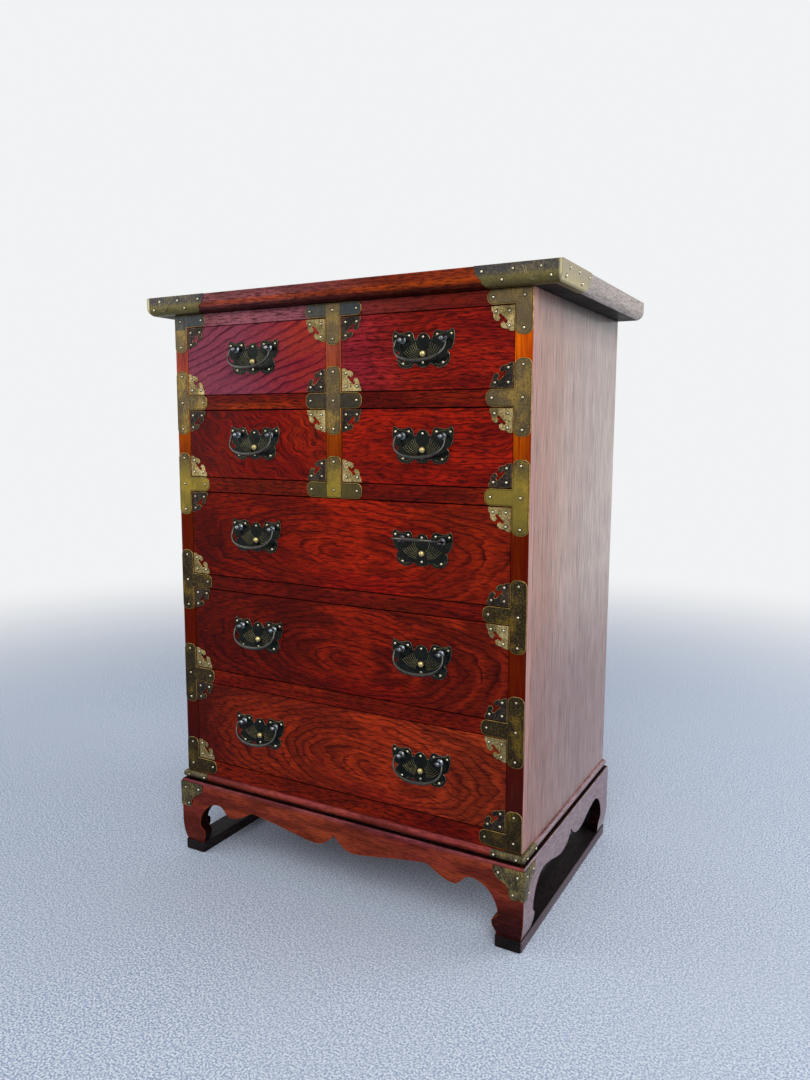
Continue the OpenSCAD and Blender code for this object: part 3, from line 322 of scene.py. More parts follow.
@dataclass(frozen=True)
class Wood:
    """A lacquered wood, seen through its growth rings, fibres and pores.

    Attributes:
        along, across: The axes along the grain and across it on the board's face.
        centre: The heart of the figure, along and across the grain.
        slant: How far straight rings slant, as a rise per metre.
        pitch: Distance between rings.
        oval: Breadth of oval rings as a share of their length.
        wander: How far the rings stray.
        line, fibres, flecks, pores, mottle: Strength of the rings' lines, the dark fibres, the
            light flecks, the pores and the dark spots, each from 0 to 1.
        fineness, stretch: Factors on the fibres' number and on their scale along the grain.
        glow, glow_from: Strength of the light clouds and the level at which they begin.
        gloss, shine, coat: Roughness, reflection and lacquer of the shader.
    """

    name: str
    dark: str
    mid: str
    light: str
    along: Axis = Axis.X
    across: Axis = Axis.Z
    figure: Figure = Figure.STRAIGHT
    centre: tuple[float, float] = (0.0, 0.0)
    slant: float = 0.0
    pitch: float = 11 * MM
    oval: float = 0.24
    wander: float = 16 * MM
    line: float = 0.75
    fibres: float = 0.75
    fineness: float = 1.0
    stretch: float = 0.15
    flecks: float = 0.2
    pores: float = 0.65
    glow: float = 0.5
    glow_from: float = 0.42
    veils: tuple[Veil, ...] = ()
    mottle: float = 0.4
    gloss: float = 0.3
    shine: float = 0.03
    coat: float = 0.05

    def build(self) -> Material:
        """Builds the material.

        Returns:
            The finished wood.
        """
        s = Surface(
            self.name, Coat_Weight=self.coat, Coat_Roughness=0.12, IOR=1.5,
            Specular_IOR_Level=self.shine,
        )
        grain = self._grain(s)
        across = self._across(s, grain)
        rings = self._beside(s, grain, across)
        follow = self._beside(s, grain, self._sway(s, grain, across))
        ring = s.steps(s.math("FRACT", s.times(across, 1 / self.pitch)), *RING_STEPS)
        fibre = s.noise(430 * self.fineness, (self.stretch, 1, 0.6), vector=follow)
        pore = s.noise(620 * self.fineness, (self.stretch * 0.7, 1, 0.6), 2, vector=follow)
        pore = s.steps(pore, (0.55, 0.0), (0.62, 1.0))
        dark = colour(self.dark)
        tint = self._fibred(s, self._ground(s, grain, rings), rings, fibre)
        uneven = s.steps(s.noise(9, (0.7, 2.2, 2.2), vector=grain), (0.35, 0.4), (0.6, 1.0))
        broken = s.times(uneven, s.steps(fibre, (0.4, 1.0), (0.62, 0.75)))
        tint = s.blend(s.times(s.times(ring, broken), self.line), tint, dark)
        s.wire("Base Color", s.blend(s.times(pore, self.pores), tint, dark))
        haze = s.noise(22)
        s.wire("Roughness", s.steps(haze, (0.3, self.gloss - 0.05), (0.7, self.gloss + 0.1)))
        s.relief(s.plus(s.times(pore, -0.7), s.times(ring, -0.3)), GRAIN_DEPTH)
        return s.material

    def _ground(self, s: Surface, grain: Socket, rings: Socket) -> Socket:
        """Returns the colour under the grain: clouds and bands of light wood, then the veils.

        Args:
            s: The surface in the making.
            grain: The place on the board.
            rings: The place along the grain and across the rings.

        Returns:
            The colour.
        """
        zone = s.noise(5.2, (0.55, 1.5, 1.5), 2.5, vector=grain)
        bands = s.noise(60, (0.09, 1, 0.2), 4, vector=rings)
        lit = s.plus(s.times(zone, 0.6), s.times(bands, 0.4))
        lit = s.steps(lit, (self.glow_from, 0.0), (self.glow_from + 0.14, self.glow))
        tint = s.blend(lit, colour(self.mid), colour(self.light))
        for veil in self.veils:
            tint = veil.over(s, tint)
        return tint

    def _fibred(self, s: Surface, tint: Socket, rings: Socket, fibre: Socket) -> Socket:
        """Returns the colour with light flecks, dark fibres and dark spots along the rings.

        Args:
            s: The surface in the making.
            tint: The colour so far.
            rings: The place along the grain and across the rings.
            fibre: The fibres' pattern.

        Returns:
            The colour.
        """
        tint = s.blend(s.steps(fibre, (0.55, 0.0), (0.68, self.flecks)), tint, colour(self.light))
        tint = s.blend(s.steps(fibre, (0.38, self.fibres), (0.5, 0.0)), tint, colour(self.dark))
        spots = s.noise(34, (0.3, 1.3, 1.3), vector=rings)
        return s.blend(s.steps(spots, (0.44, 0.0), (0.6, self.mottle)), tint, colour(self.dark))

    def _grain(self, s: Surface) -> Socket:
        """Returns the place on the board: along the grain, across it and into the board.

        Args:
            s: The surface in the making.

        Returns:
            The place, counted from the figure's heart.
        """
        parts = s.add("ShaderNodeSeparateXYZ", {0: s.place}).outputs
        depth = next(a for a in Axis if a not in (self.along, self.across))
        turned = s.out(
            "ShaderNodeCombineXYZ",
            {i: parts[a.value] for i, a in enumerate((self.along, self.across, depth))},
        )
        board = s.attribute("board")
        apart = {0: s.times(board, 3.1), 1: s.times(board, 5.3), 2: board}
        shift = s.out("ShaderNodeCombineXYZ", apart)
        centre = (self.centre[0], self.centre[1], 0.0)
        return s.vector("SUBTRACT", s.vector("ADD", turned, shift), centre)

    def _across(self, s: Surface, grain: Socket) -> Socket:
        """Returns how far each place lies from the board's heart, across the growth rings.

        Args:
            s: The surface in the making.
            grain: The place on the board.

        Returns:
            The distance in metres.
        """
        swirl = s.noise(7.5, (0.8, 1.6, 1.2), 3.0, vector=grain, output="Color")
        ripple = s.noise(42, (0.55, 1.2, 1.2), 2.0, vector=grain, output="Color")
        bent = s.vector("MULTIPLY", grain, (self.oval, 1.0, 0.3))
        for cloud, reach in ((swirl, 2), (ripple, 0.32)):
            shift = s.vector("SCALE", s.vector("SUBTRACT", cloud, (0.5, 0.5, 0.5)))
            shift.node.inputs["Scale"].default_value = self.wander * reach
            bent = s.vector("ADD", bent, shift)
        if self.figure is Figure.OVAL:
            return s.vector("LENGTH", s.vector("MULTIPLY", bent, (1.0, 1.0, 0.0)))
        return s.vector("DOT_PRODUCT", bent, (self.slant / self.oval, 1.0, 0.2))

    def _sway(self, s: Surface, grain: Socket, across: Socket) -> Socket:
        """Returns the place across the fibres, which run straight through ovals.

        Args:
            s: The surface in the making.
            grain: The place on the board.
            across: The distance from the board's heart.

        Returns:
            The distance.
        """
        if self.figure is not Figure.OVAL:
            return across
        sway = s.noise(10, (0.8, 1.4, 1.0), 2, vector=grain)
        line = s.add("ShaderNodeSeparateXYZ", {0: grain}).outputs[1]
        return s.plus(line, s.times(sway, self.wander))

    def _beside(self, s: Surface, grain: Socket, across: Socket) -> Socket:
        """Returns the place along the grain and across the given lines."""
        parts = s.add("ShaderNodeSeparateXYZ", {0: grain}).outputs
        return s.out("ShaderNodeCombineXYZ", {0: parts[0], 1: across, 2: parts[2]})


@dataclass(frozen=True)
class Brass:
    """Sheet brass with its patina: clouds, streaks of dirt and a darker rim."""

    name: str
    dirt: str
    body: str
    worn: str
    streak_axis: Axis = Axis.Z
    cloud: float = 34.0
    shine: float = 0.42
    wear: float = 0.5
    rim: float = 0.65
    rub: float = 0.85
    veils: tuple[Veil, ...] = ()

    def build(self) -> Material:
        """Builds the material.

        Returns:
            The finished brass.
        """
        s = Surface(self.name, Metallic=0.85)
        stretch = [1.0, 1.0, 1.0]
        stretch[self.streak_axis.value] = 0.16
        clouds = s.noise(self.cloud, detail=5)
        streaks = s.noise(420, stretch)
        specks = s.noise(520, detail=2)
        rubbed = s.steps(clouds, (0.5, 0.0), (0.62, self.wear))
        tint = s.blend(rubbed, colour(self.body), colour(self.worn))
        tint = s.blend(s.steps(streaks, (0.46, 0.0), (0.66, 0.62)), tint, colour(self.dirt))
        tint = s.blend(s.steps(specks, (0.53, 0.0), (0.6, 0.7)), tint, colour(self.dirt))
        tint = s.blend(s.steps(specks, (0.36, 0.5), (0.44, 0.0)), tint, colour(self.worn))
        tint = s.blend(s.steps(clouds, (0.3, 0.7), (0.46, 0.0)), tint, colour(self.dirt))
        for veil in self.veils:
            tint = veil.over(s, tint)
        tint = self._crossed(s, tint)
        rim = s.attribute("rim")
        edge = s.steps(rim, (0.0, 0.0), (0.4, self.rim), (0.62, self.rim), (0.72, 0.0))
        tint = s.blend(edge, tint, colour(self.dirt))
        tint = s.blend(s.steps(rim, (0.66, 0.0), (0.8, self.rub)), tint, colour(self.worn))
        s.wire("Base Color", tint)
        s.wire("Roughness", s.steps(streaks, (0.3, self.shine - 0.08), (0.7, self.shine + 0.16)))
        s.relief(s.plus(streaks, specks), BRASS_DEPTH)
        return s.material

    def _crossed(self, s: Surface, tint: Socket) -> Socket:
        """Returns the tint as it is, for plates of one tone."""
        return tint


@dataclass(frozen=True)
class CrossedBrass(Brass):
    """Brass of the plates on the centre line: a bar laid over two darker arms."""

    arms: str = "1b1d1e"
    # Painted sheen: the bluish tint of the arms on the top rail and of the upper left angle plate.
    upper_arms: str = "1f3340"
    upper_from: float = 0.945
    angle_from: float = 0.24
    bar_half: float = 13.65 * MM
    reach: float = 60 * MM
    seam: float = 0.45 * MM

    def _crossed(self, s: Surface, tint: Socket) -> Socket:
        """Darkens the arms, paints a bluish sheen on the arms on the top rail and on the upper left
        angle plate, and draws the seams beside the bar.

        Args:
            s: The surface in the making.
            tint: Its colour so far.

        Returns:
            The colour with dark arms.
        """
        parts = s.add("ShaderNodeSeparateXYZ", {0: s.place}).outputs
        out = s.math("ABSOLUTE", parts["X"])
        beyond = s.math("GREATER_THAN", out, self.bar_half)
        inside = s.math("LESS_THAN", out, self.reach)
        share = s.times(s.times(beyond, inside), 0.72)
        # Painted sheen: high up, the arms and the angle plate on the far left turn bluish.
        upper = s.math("GREATER_THAN", parts["Z"], self.upper_from)
        bluish = colour(self.upper_arms)
        tint = s.blend(share, tint, s.blend(upper, colour(self.arms), bluish))
        outer = s.math("LESS_THAN", parts["X"], -self.angle_from)
        tint = s.blend(s.times(s.times(outer, upper), 0.7), tint, bluish)
        off = s.math("ABSOLUTE", s.math("SUBTRACT", out, self.bar_half))
        seams = s.times(s.math("LESS_THAN", off, self.seam), 0.8)
        return s.blend(seams, tint, colour(self.dirt))


@dataclass(frozen=True)
class Polished:
    """Rubbed metal of one colour with faint clouds, as on nails, knobs, bails and edges."""

    name: str
    bright: str
    dull: str
    shine: float = 0.28
    share: float = 0.6
    lacquer: float = 0.0

    def build(self) -> Material:
        """Builds the material.

        Returns:
            The finished metal.
        """
        s = Surface(self.name, Metallic=1.0, Coat_Weight=self.lacquer, Coat_Roughness=0.06)
        clouds = s.noise(150, detail=4)
        dulled = s.steps(clouds, (0.38, 0.0), (0.64, self.share))
        s.wire("Base Color", s.blend(dulled, colour(self.bright), colour(self.dull)))
        s.wire("Roughness", s.steps(clouds, (0.3, self.shine), (0.7, self.shine + 0.2)))
        s.relief(s.noise(700, detail=2), POLISHED_DEPTH)
        return s.material


@dataclass(frozen=True)
class Carpet:
    """Pale tufted carpet near the chest, which runs out into the white of the studio."""

    name: str = "floor"
    shaded: str = "8a9ebc"
    tips: str = "e2e8f2"
    worn: str = "bfc8d6"
    tufts: float = 340.0
    radius: float = 1.1
    fade: float = 2.2

    def build(self) -> Material:
        """Builds the material.

        Returns:
            The finished carpet.
        """
        s = Surface(self.name, Roughness=0.95)
        tuft = s.noise(self.tufts, detail=1)
        cloud = s.noise(2.2)
        tips = s.steps(tuft, (0.38, 0.0), (0.62, 1.0))
        tint = s.blend(tips, colour(self.shaded), colour(self.tips))
        tint = s.blend(s.steps(cloud, (0.35, 0.0), (0.7, 0.4)), tint, colour(self.worn))
        s.wire("Base Color", tint)
        away = s.out(
            "ShaderNodeMapRange",
            {0: s.vector("LENGTH", s.place), 1: self.radius, 2: self.radius + self.fade},
            interpolation_type="SMOOTHSTEP",
        )
        glow = s.out("ShaderNodeEmission", BACKDROP)
        share = s.times(away, s.seen_directly())
        mix = s.out("ShaderNodeMixShader", {0: share, 1: s.shader.outputs[0], 2: glow})
        s.tree.links.new(mix, s.output.inputs["Surface"])
        return s.material


Finish = Wood | Brass | Polished | Carpet


@dataclass
class Palette:
    """The chest's finishes, each built once."""

    made: dict[str, Material] = field(default_factory=dict)

    def get(self, finish: Finish) -> Material:
        """Returns the material of a finish, which is built on its first use.

        Args:
            finish: The finish.

        Returns:
            Its material.
        """
        if finish.name not in self.made:
            self.made[finish.name] = finish.build()
        return self.made[finish.name]


PALETTE = Palette()

RAIL = Wood(
    "rail_wood", "260201", "6e1006", "94280a", pitch=7 * MM, wander=5 * MM, line=0.4, glow=0.6,
    veils=(
        # Painted highlight: a short band of orange glow on one rail, left of the middle.
        Veil(
            Axis.Z, "c04008", ((0.803, 0.0), (0.808, 0.75), (0.818, 0.75), (0.822, 0.0)),
            Veil(Axis.X, "c04008", ((0.22, 0.0), (0.3, 1.0), (0.38, 0.8), (0.46, 0.0))),
        ),
    ),
)
TOP_RAIL = Wood(
    "top_rail_wood", "300806", "701a12", "902c16", pitch=7 * MM, wander=5 * MM, line=0.4,
    fibres=0.5, glow=0.6,
    # Painted sheen: a mauve reflection over the left part of the top rail.
    veils=(Veil(Axis.X, "a8646e", ((0.3, 0.85), (0.46, 0.7), (0.56, 0.1), (0.7, 0.0))),),
)
STILE = Wood(
    "stile_wood", "4c0702", "b83a08", "ec6c08", Axis.Z, Axis.X, pitch=6 * MM, wander=4 * MM,
    line=0.3, fibres=0.35, stretch=0.05, flecks=0.05, pores=0.4, glow=0.95, glow_from=0.38,
    mottle=0.2, coat=0.02, shine=0.01,
    veils=(
        # Darker towards the bottom: partly painted shade, partly the wood's own darker tone.
        Veil(Axis.Z, "480301", ((0.2, 0.97), (0.62, 0.93), (0.72, 0.7), (0.8, 0.4), (0.9, 0.05))),
        Veil(Axis.Z, "2a1214", ((0.17, 1.0), (0.24, 0.75), (0.4, 0.0))),
    ),
)
STILE_LEFT = replace(
    STILE, name="left_stile_wood",
    # Painted sheen: mauve at the top of the left stile.
    veils=(Veil(Axis.Z, "8e4850", ((0.78, 0.0), (0.9, 0.65))),) + STILE.veils,
)
MUNTIN = replace(
    STILE, name="muntin_wood", mid="983210", light="cc5e0e",
    # Painted sheen: mauve at the top of the muntins.
    veils=(Veil(Axis.Z, "7c444c", ((0.83, 0.0), (0.89, 0.5))),) + STILE.veils,
)
# The stiles' sideways faces: their wood made pale pink-grey by painted sheen.
STILE_SIDE = Wood(
    "stile_side_wood", "6a3a36", "a8766a", "bc887c", Axis.Z, Axis.Y, pitch=5 * MM, wander=3 * MM,
    line=0.4, fibres=0.5, stretch=0.03, pores=0.6, mottle=0.1, shine=0.3, coat=0.2,
)
TOP = Wood(
    "top_wood", "300806", "741c0e", "963412", Axis.X, Axis.Y, pitch=7 * MM, wander=6 * MM, line=0.5,
)
TOP_EDGE = Wood(
    "top_edge_wood", "2c0806", "883014", "b04a16", pitch=5 * MM, wander=4 * MM, line=0.5,
    fibres=0.6, pores=0.6,
    veils=(
        # Painted sheen: mauve over the left part of the top board's front edge.
        Veil(Axis.X, "9a6068", ((0.12, 0.9), (0.42, 0.55), (0.6, 0.0))),
        # Painted highlight: an orange line low on the edge.
        Veil(Axis.Z, "a8400c", ((0.977, 0.0), (0.981, 0.8), (0.985, 0.8), (0.988, 0.0))),
        # Painted shade: the downward-facing bottom of the edge darkened.
        Veil(Axis.Z, "1c0604", ((0.972, 0.95), (0.977, 0.7), (0.981, 0.0))),
    ),
)
# The top board's ends: its wood made pale grey-pink by painted sheen.
TOP_SIDE = Wood(
    "top_side_wood", "5c4c46", "988a82", "b9aca3", Axis.Y, Axis.Z, pitch=6 * MM, wander=5 * MM,
    line=0.3, pores=0.5, mottle=0.1, gloss=0.4, shine=0.4,
)
# Painted shade: near-black wood for the top board's underside and the corner blocks.
UNDERSIDE_SHADE = Wood(
    "underside_wood", "0a0606", "171112", "201a1b", Axis.X, Axis.Y, pitch=7 * MM, wander=5 * MM,
    line=0.4, gloss=0.5,
)
# The side panels: their wood made pale mauve-grey by painted sheen; the veils make it warmer near
# the front and paler grey towards the back, also painted sheen, and a darker mauve on the lower
# half.
SIDE = Wood(
    "side_wood", "3e2824", "a68a80", "c4ada4", Axis.Z, Axis.Y, pitch=5 * MM, wander=3 * MM,
    line=0.4, fibres=0.55, fineness=1.7, stretch=0.022, flecks=0.3, pores=0.75, mottle=0.08,
    glow=0.6, gloss=0.36, shine=0.4, coat=0.2,
    veils=(
        Veil(Axis.Y, "b0705a", ((0.28, 0.75), (0.38, 0.6), (0.56, 0.0))),
        Veil(Axis.Y, "bcb2ac", ((0.42, 0.0), (0.7, 0.45))),
        Veil(Axis.Z, "8a6664", ((0.14, 0.6), (0.34, 0.75), (0.4, 0.7), (0.54, 0.0))),
        # Painted shadow under the top board.
        Veil(Axis.Z, "1e1418", ((0.91, 0.0), (0.938, 0.3), (0.953, 0.75), (0.966, 1.0))),
        Veil(Axis.Y, "a8705c", ((0.28, 0.5), (0.34, 0.4), (0.44, 0.0))),
    ),
)
BASE = Wood(
    "base_wood", "300a08", "7c2c26", "a04422", pitch=5 * MM, wander=4 * MM, line=0.25, fibres=0.4,
    pores=0.4, mottle=0.5, glow=0.7,
    veils=(
        # Darker towards the floor, more so on the right.
        Veil(
            Axis.Z, "200a0e", ((0.018, 1.0), (0.06, 0.9), (0.078, 0.4), (0.1, 0.0)),
            Veil(Axis.X, "200a0e", ((0.3, 0.55), (0.7, 1.0))),
        ),
        # Painted sheen on the apron's rounded top edge, then a painted highlight along the top of
        # the bead.
        Veil(Axis.Z, "80485a", ((0.131, 0.0), (0.1345, 0.6), (0.138, 0.6), (0.139, 0.0))),
        Veil(Axis.Z, "ac5058", ((0.147, 0.0), (0.149, 0.6), (0.152, 0.6), (0.153, 0.0))),
    ),
)
PLINTH = replace(
    BASE, name="plinth_wood",
    veils=(
        *BASE.veils,
        # Painted sheen: the plinth's ends pale grey-pink.
        Veil(Axis.X, "a88a8c", ((0.1717, 0.95), (0.1722, 0.0), (0.8278, 0.0), (0.8283, 0.95))),
    ),
)
# The base's sideways faces: their wood made pale mauve by painted sheen.
BASE_SIDE = Wood(
    "base_side_wood", "2c1618", "876a70", "a0868a", Axis.Y, Axis.Z, pitch=5 * MM, wander=4 * MM,
    line=0.3, fibres=0.5, mottle=0.1, shine=0.4, coat=0.2,
)
# Painted shade: near-black wood for the arch's cut faces and all but the outer faces of the side
# aprons.
ARCH_SHADE = Wood(
    "arch_wood", "080303", "1c0a08", "30120c", pitch=8 * MM, wander=4 * MM, gloss=0.5, shine=0.02,
    coat=0.0,
)
RUNNER = Wood(
    "runner_wood", "0a0808", "211a1b", "332a2c", Axis.Y, Axis.X, pitch=6 * MM, wander=4 * MM,
    line=0.4, gloss=0.5, shine=0.05, coat=0.0,
)
# The runners' sideways faces: lighter mauve than the rest of the runner, by painted sheen.
RUNNER_SIDE = Wood(
    "runner_side_wood", "1a0c0e", "563c40", "705458", Axis.Y, Axis.Z, pitch=6 * MM, wander=4 * MM,
    line=0.3, fibres=0.5, mottle=0.3, shine=0.2, coat=0.1,
)
INNER = Wood(
    "inner_wood", "6b4a2a", "a98557", "c3a173", Axis.X, Axis.Y, pitch=13 * MM, wander=9 * MM,
    line=0.35, fibres=0.4, pores=0.25, gloss=0.62, coat=0.0,
)
INNER_UPRIGHT = replace(INNER, name="inner_upright_wood", along=Axis.Y, across=Axis.Z)
BACK = Wood(
    "back_wood", "4c2f1b", "815c38", "9c774c", Axis.X, Axis.Z, pitch=12 * MM, wander=10 * MM,
    line=0.45, fibres=0.5, pores=0.35, gloss=0.66, coat=0.0,
)
# Painted shadow: near-black wood on the rounded edges of the rails and the drawer fronts, beside
# the gaps.
SEAM_SHADOW = Wood(
    "seam_wood", "080202", "1a0604", "240a06", line=0.3, fibres=0.4, gloss=0.6, shine=0.01,
    coat=0.0,
)
WORN_WOOD = Wood(
    "worn_wood", "4a1408", "93330f", "b8561d", pitch=8 * MM, line=0.2, glow=0.8, gloss=0.42,
)

PLATE = CrossedBrass(
    "plate_brass", "17140c", "463a26", "a8862a", wear=0.8,
    veils=(
        # Painted sheen: greyer higher up.
        Veil(Axis.Z, "6f5f45", ((0.6, 0.0), (0.9, 0.6))),
        # Painted highlight: a band of bright gold at about two thirds of the height.
        Veil(Axis.Z, "94802c", ((0.61, 0.0), (0.65, 0.55), (0.7, 0.55), (0.73, 0.0))),
        # Painted shade: darker on the lower plates.
        Veil(Axis.Z, "241c0c", ((0.16, 0.6), (0.5, 0.5), (0.62, 0.0))),
    ),
)
CAP_PLATE = Brass(
    "cap_brass", "141410", "4c4634", "8f8146", wear=0.6, rub=0.0,
    veils=(
        # Painted highlight: olive-gold low on the front arm.
        Veil(Axis.Z, "74693c", ((0.972, 0.6), (0.984, 0.5), (0.99, 0.0))),
        # Painted sheen: purple-grey on its upper part.
        Veil(Axis.Z, "46434c", ((0.984, 0.0), (0.989, 0.5), (0.999, 0.5))),
        # Painted sheen: the side arms made paler grey.
        Veil(Axis.X, "5e5450", ((0.1276, 0.9), (0.1284, 0.0), (0.8716, 0.0), (0.8724, 0.9))),
        # Painted highlights: thin cream lines down the corners.
        Veil(Axis.X, "d8cba0", ((0.1282, 0.0), (0.1288, 0.75), (0.1296, 0.75), (0.1302, 0.0))),
        Veil(Axis.X, "d8cba0", ((0.8698, 0.0), (0.8704, 0.75), (0.8712, 0.75), (0.8718, 0.0))),
    ),
)
BASE_PLATE = Brass("base_plate_brass", "1a160e", "5e543e", "a08c50", wear=0.8, rub=0.0)
CORNER_PALE = Brass(
    "pale_corner_brass", "453a22", "93804f", "d8c088", wear=0.6, rim=0.3, shine=0.36,
)
CORNER_DARK = Brass("dark_corner_brass", "100d0c", "2b2526", "75603e", wear=0.2, rim=0.2, rub=0.9)
HANDLE_BLACK = Brass(
    "handle_black", "060808", "171b19", "34352a", wear=0.3, cloud=60, shine=0.22, rim=0.0,
)
# The plates' rounded edges, gold on the brass and grey on the black handles: rubbed metal made
# paler as a painted highlight.
EDGE_GOLD = Polished("edge_gold", "c4a566", "54472a", 0.3, 0.8)
EDGE_GREY = Polished("edge_grey", "a8a28a", "34342e", 0.22, 0.8)
NAIL = Polished("nail_brass", "d2cbae", "7c7252", 0.16, 0.6)
# Painted shadow: a dark ring round the foot of each nail head.
NAIL_SHADOW_RING = Polished("nail_collar", "1c170d", "2b2415", 0.5)
KNOB = Polished("knob_brass", "d9c58c", "8f7b49", 0.24, 0.6)
BAIL = Polished("bail_brass", "3e3e35", "101210", 0.14, 0.8, lacquer=0.9)
POST = Polished("post_metal", "8a9298", "101416", 0.1, 0.7, lacquer=0.6)
CHASING = Polished("chasing_gold", "8c8260", "4a4430", 0.3, 0.6)


@dataclass
class Island:
    """One solid of a node."""

    faces: list[bmesh.types.BMFace]
    low: Vector
    high: Vector

    @property
    def size(self) -> Vector:
        """The solid's extents."""
        return self.high - self.low

    @property
    def middle(self) -> Vector:
        """The middle of the solid's box."""
        return (self.high + self.low) / 2


Chooser = Callable[[Island], bool]


def merged(node: str) -> BMesh:
    """Returns a node's mesh with its loose triangles joined, as a copy.

    Args:
        node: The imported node's name.

    Returns:
        The copy.
    """
    shape = bmesh.new()
    shape.from_mesh(frame["nodes"][node].data)
    bmesh.ops.remove_doubles(shape, verts=shape.verts, dist=MERGE_DISTANCE)
    return shape


def islands(shape: BMesh) -> list[Island]:
    """Splits a mesh into its solids.

    Args:
        shape: A mesh with its doubles merged.

    Returns:
        The solids, in the order of their first faces.
    """
    found, seen = [], set()
    for start in shape.faces:
        if start in seen:
            continue
        seen.add(start)
        queue, members = [start], []
        while queue:
            face = queue.pop()
            members.append(face)
            for vert in face.verts:
                for other in vert.link_faces:
                    if other not in seen:
                        seen.add(other)
                        queue.append(other)
        points = [v.co for f in members for v in f.verts]
        low = Vector(min(p[i] for p in points) for i in range(3))
        high = Vector(max(p[i] for p in points) for i in range(3))
        found.append(Island(members, low, high))
    return found


def chosen(node: str, keep: Chooser) -> BMesh:
    """Returns a copy of a node that holds only the solids that the test accepts.

    Args:
        node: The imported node's name.
        keep: The test.

    Returns:
        The copy.
    """
    shape = merged(node)
    unwanted = [f for island in islands(shape) if not keep(island) for f in island.faces]
    bmesh.ops.delete(shape, geom=unwanted, context="FACES")
    return shape


def flatten(shape: BMesh) -> None:
    """Joins the triangles that lie in one plane."""
    bmesh.ops.dissolve_limit(shape, angle_limit=FLAT_ANGLE, verts=shape.verts, edges=shape.edges)


def flat(node: str) -> BMesh:
    """Returns a copy of a node's mesh with the triangles of each plane joined.

    Args:
        node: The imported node's name.

    Returns:
        The copy.
    """
    shape = merged(node)
    flatten(shape)
    return shape


def number_boards(shape: BMesh, seed: int) -> None:
    """Gives each solid its own number, so that no two boards show the same grain.

    Args:
        shape: The mesh in the making.
        seed: Where the draw of the numbers starts.
    """
    draw = random.Random(seed)
    layer = shape.verts.layers.float.new("board")
    for island in islands(shape):
        value = draw.random()
        for face in island.faces:
            for vert in face.verts:
                vert[layer] = value


def mark_rim(shape: BMesh, width: float, facing: Vector) -> None:
    """Marks a band round the faces that look one way, for the dirt along a plate's edge.

    Args:
        shape: The plates' mesh, flattened.
        width: Width of the band.
        facing: The direction in which the plates' faces look.
    """
    layer = shape.verts.layers.float.new("rim")
    for vert in shape.verts:
        vert[layer] = 1.0
    faces = [f for f in shape.faces if f.normal.dot(facing) > 0.99]
    bmesh.ops.inset_region(shape, faces=faces, thickness=width, use_even_offset=True)
    for face in faces:
        for vert in face.verts:
            vert[layer] = 0.0


def linked(thing: Piece) -> Piece:
    """Puts an object into the scene and returns it."""
    bpy.context.scene.collection.objects.link(thing)
    return thing


def new_piece(name: str, shape: BMesh, finishes: Sequence[Finish]) -> Piece:
    """Turns a mesh in the making into an object at the origin.

    Args:
        name: The piece's name.
        shape: The mesh, which is freed.
        finishes: The piece's finishes, in the order of its faces' numbers.

    Returns:
        The new object.
    """
    mesh = bpy.data.meshes.new(name)
    shape.to_mesh(mesh)
    shape.free()
    for finish in finishes:
        mesh.materials.append(PALETTE.get(finish))
    return linked(bpy.data.objects.new(name, mesh))


def soften(
    piece: Piece, width: float, segments: int = 2, edge_material: int = -1, angle: float = 40.0
) -> None:
    """Rounds a piece's sharp edges.

    Args:
        piece: The object.
        width: Width of the rounded edge.
        segments: Faces across it.
        edge_material: Number of the finish on the rounded edges, or -1 for that beside them.
        angle: The least angle of an edge that is rounded, in degrees.
    """
    piece.data.shade_smooth()
    bevel = piece.modifiers.new("edges", "BEVEL")
    bevel.width = width
    bevel.segments = segments
    bevel.limit_method = "ANGLE"
    bevel.angle_limit = math.radians(angle)
    bevel.harden_normals = True
    bevel.material = edge_material
    shading = piece.modifiers.new("shading", "WEIGHTED_NORMAL")
    shading.keep_sharp = True


def freeze(piece: Piece) -> None:
    """Replaces a piece's mesh by what its modifiers make of it.

    Args:
        piece: The object.
    """
    graph = bpy.context.evaluated_depsgraph_get()
    evaluated = piece.evaluated_get(graph)
    mesh = bpy.data.meshes.new_from_object(
        evaluated, preserve_all_data_layers=True, depsgraph=graph
    )
    piece.modifiers.clear()
    piece.data = mesh


def settle(piece: Piece, body: str, slot: str, *nodes: str) -> None:
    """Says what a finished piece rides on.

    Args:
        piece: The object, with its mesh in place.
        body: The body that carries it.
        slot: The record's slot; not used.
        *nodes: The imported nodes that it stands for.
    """
    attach(piece, body)
    if nodes:
        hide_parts(*nodes)
    LOG.info("%s rides on %s, %d faces", piece.name, body, len(piece.data.polygons))


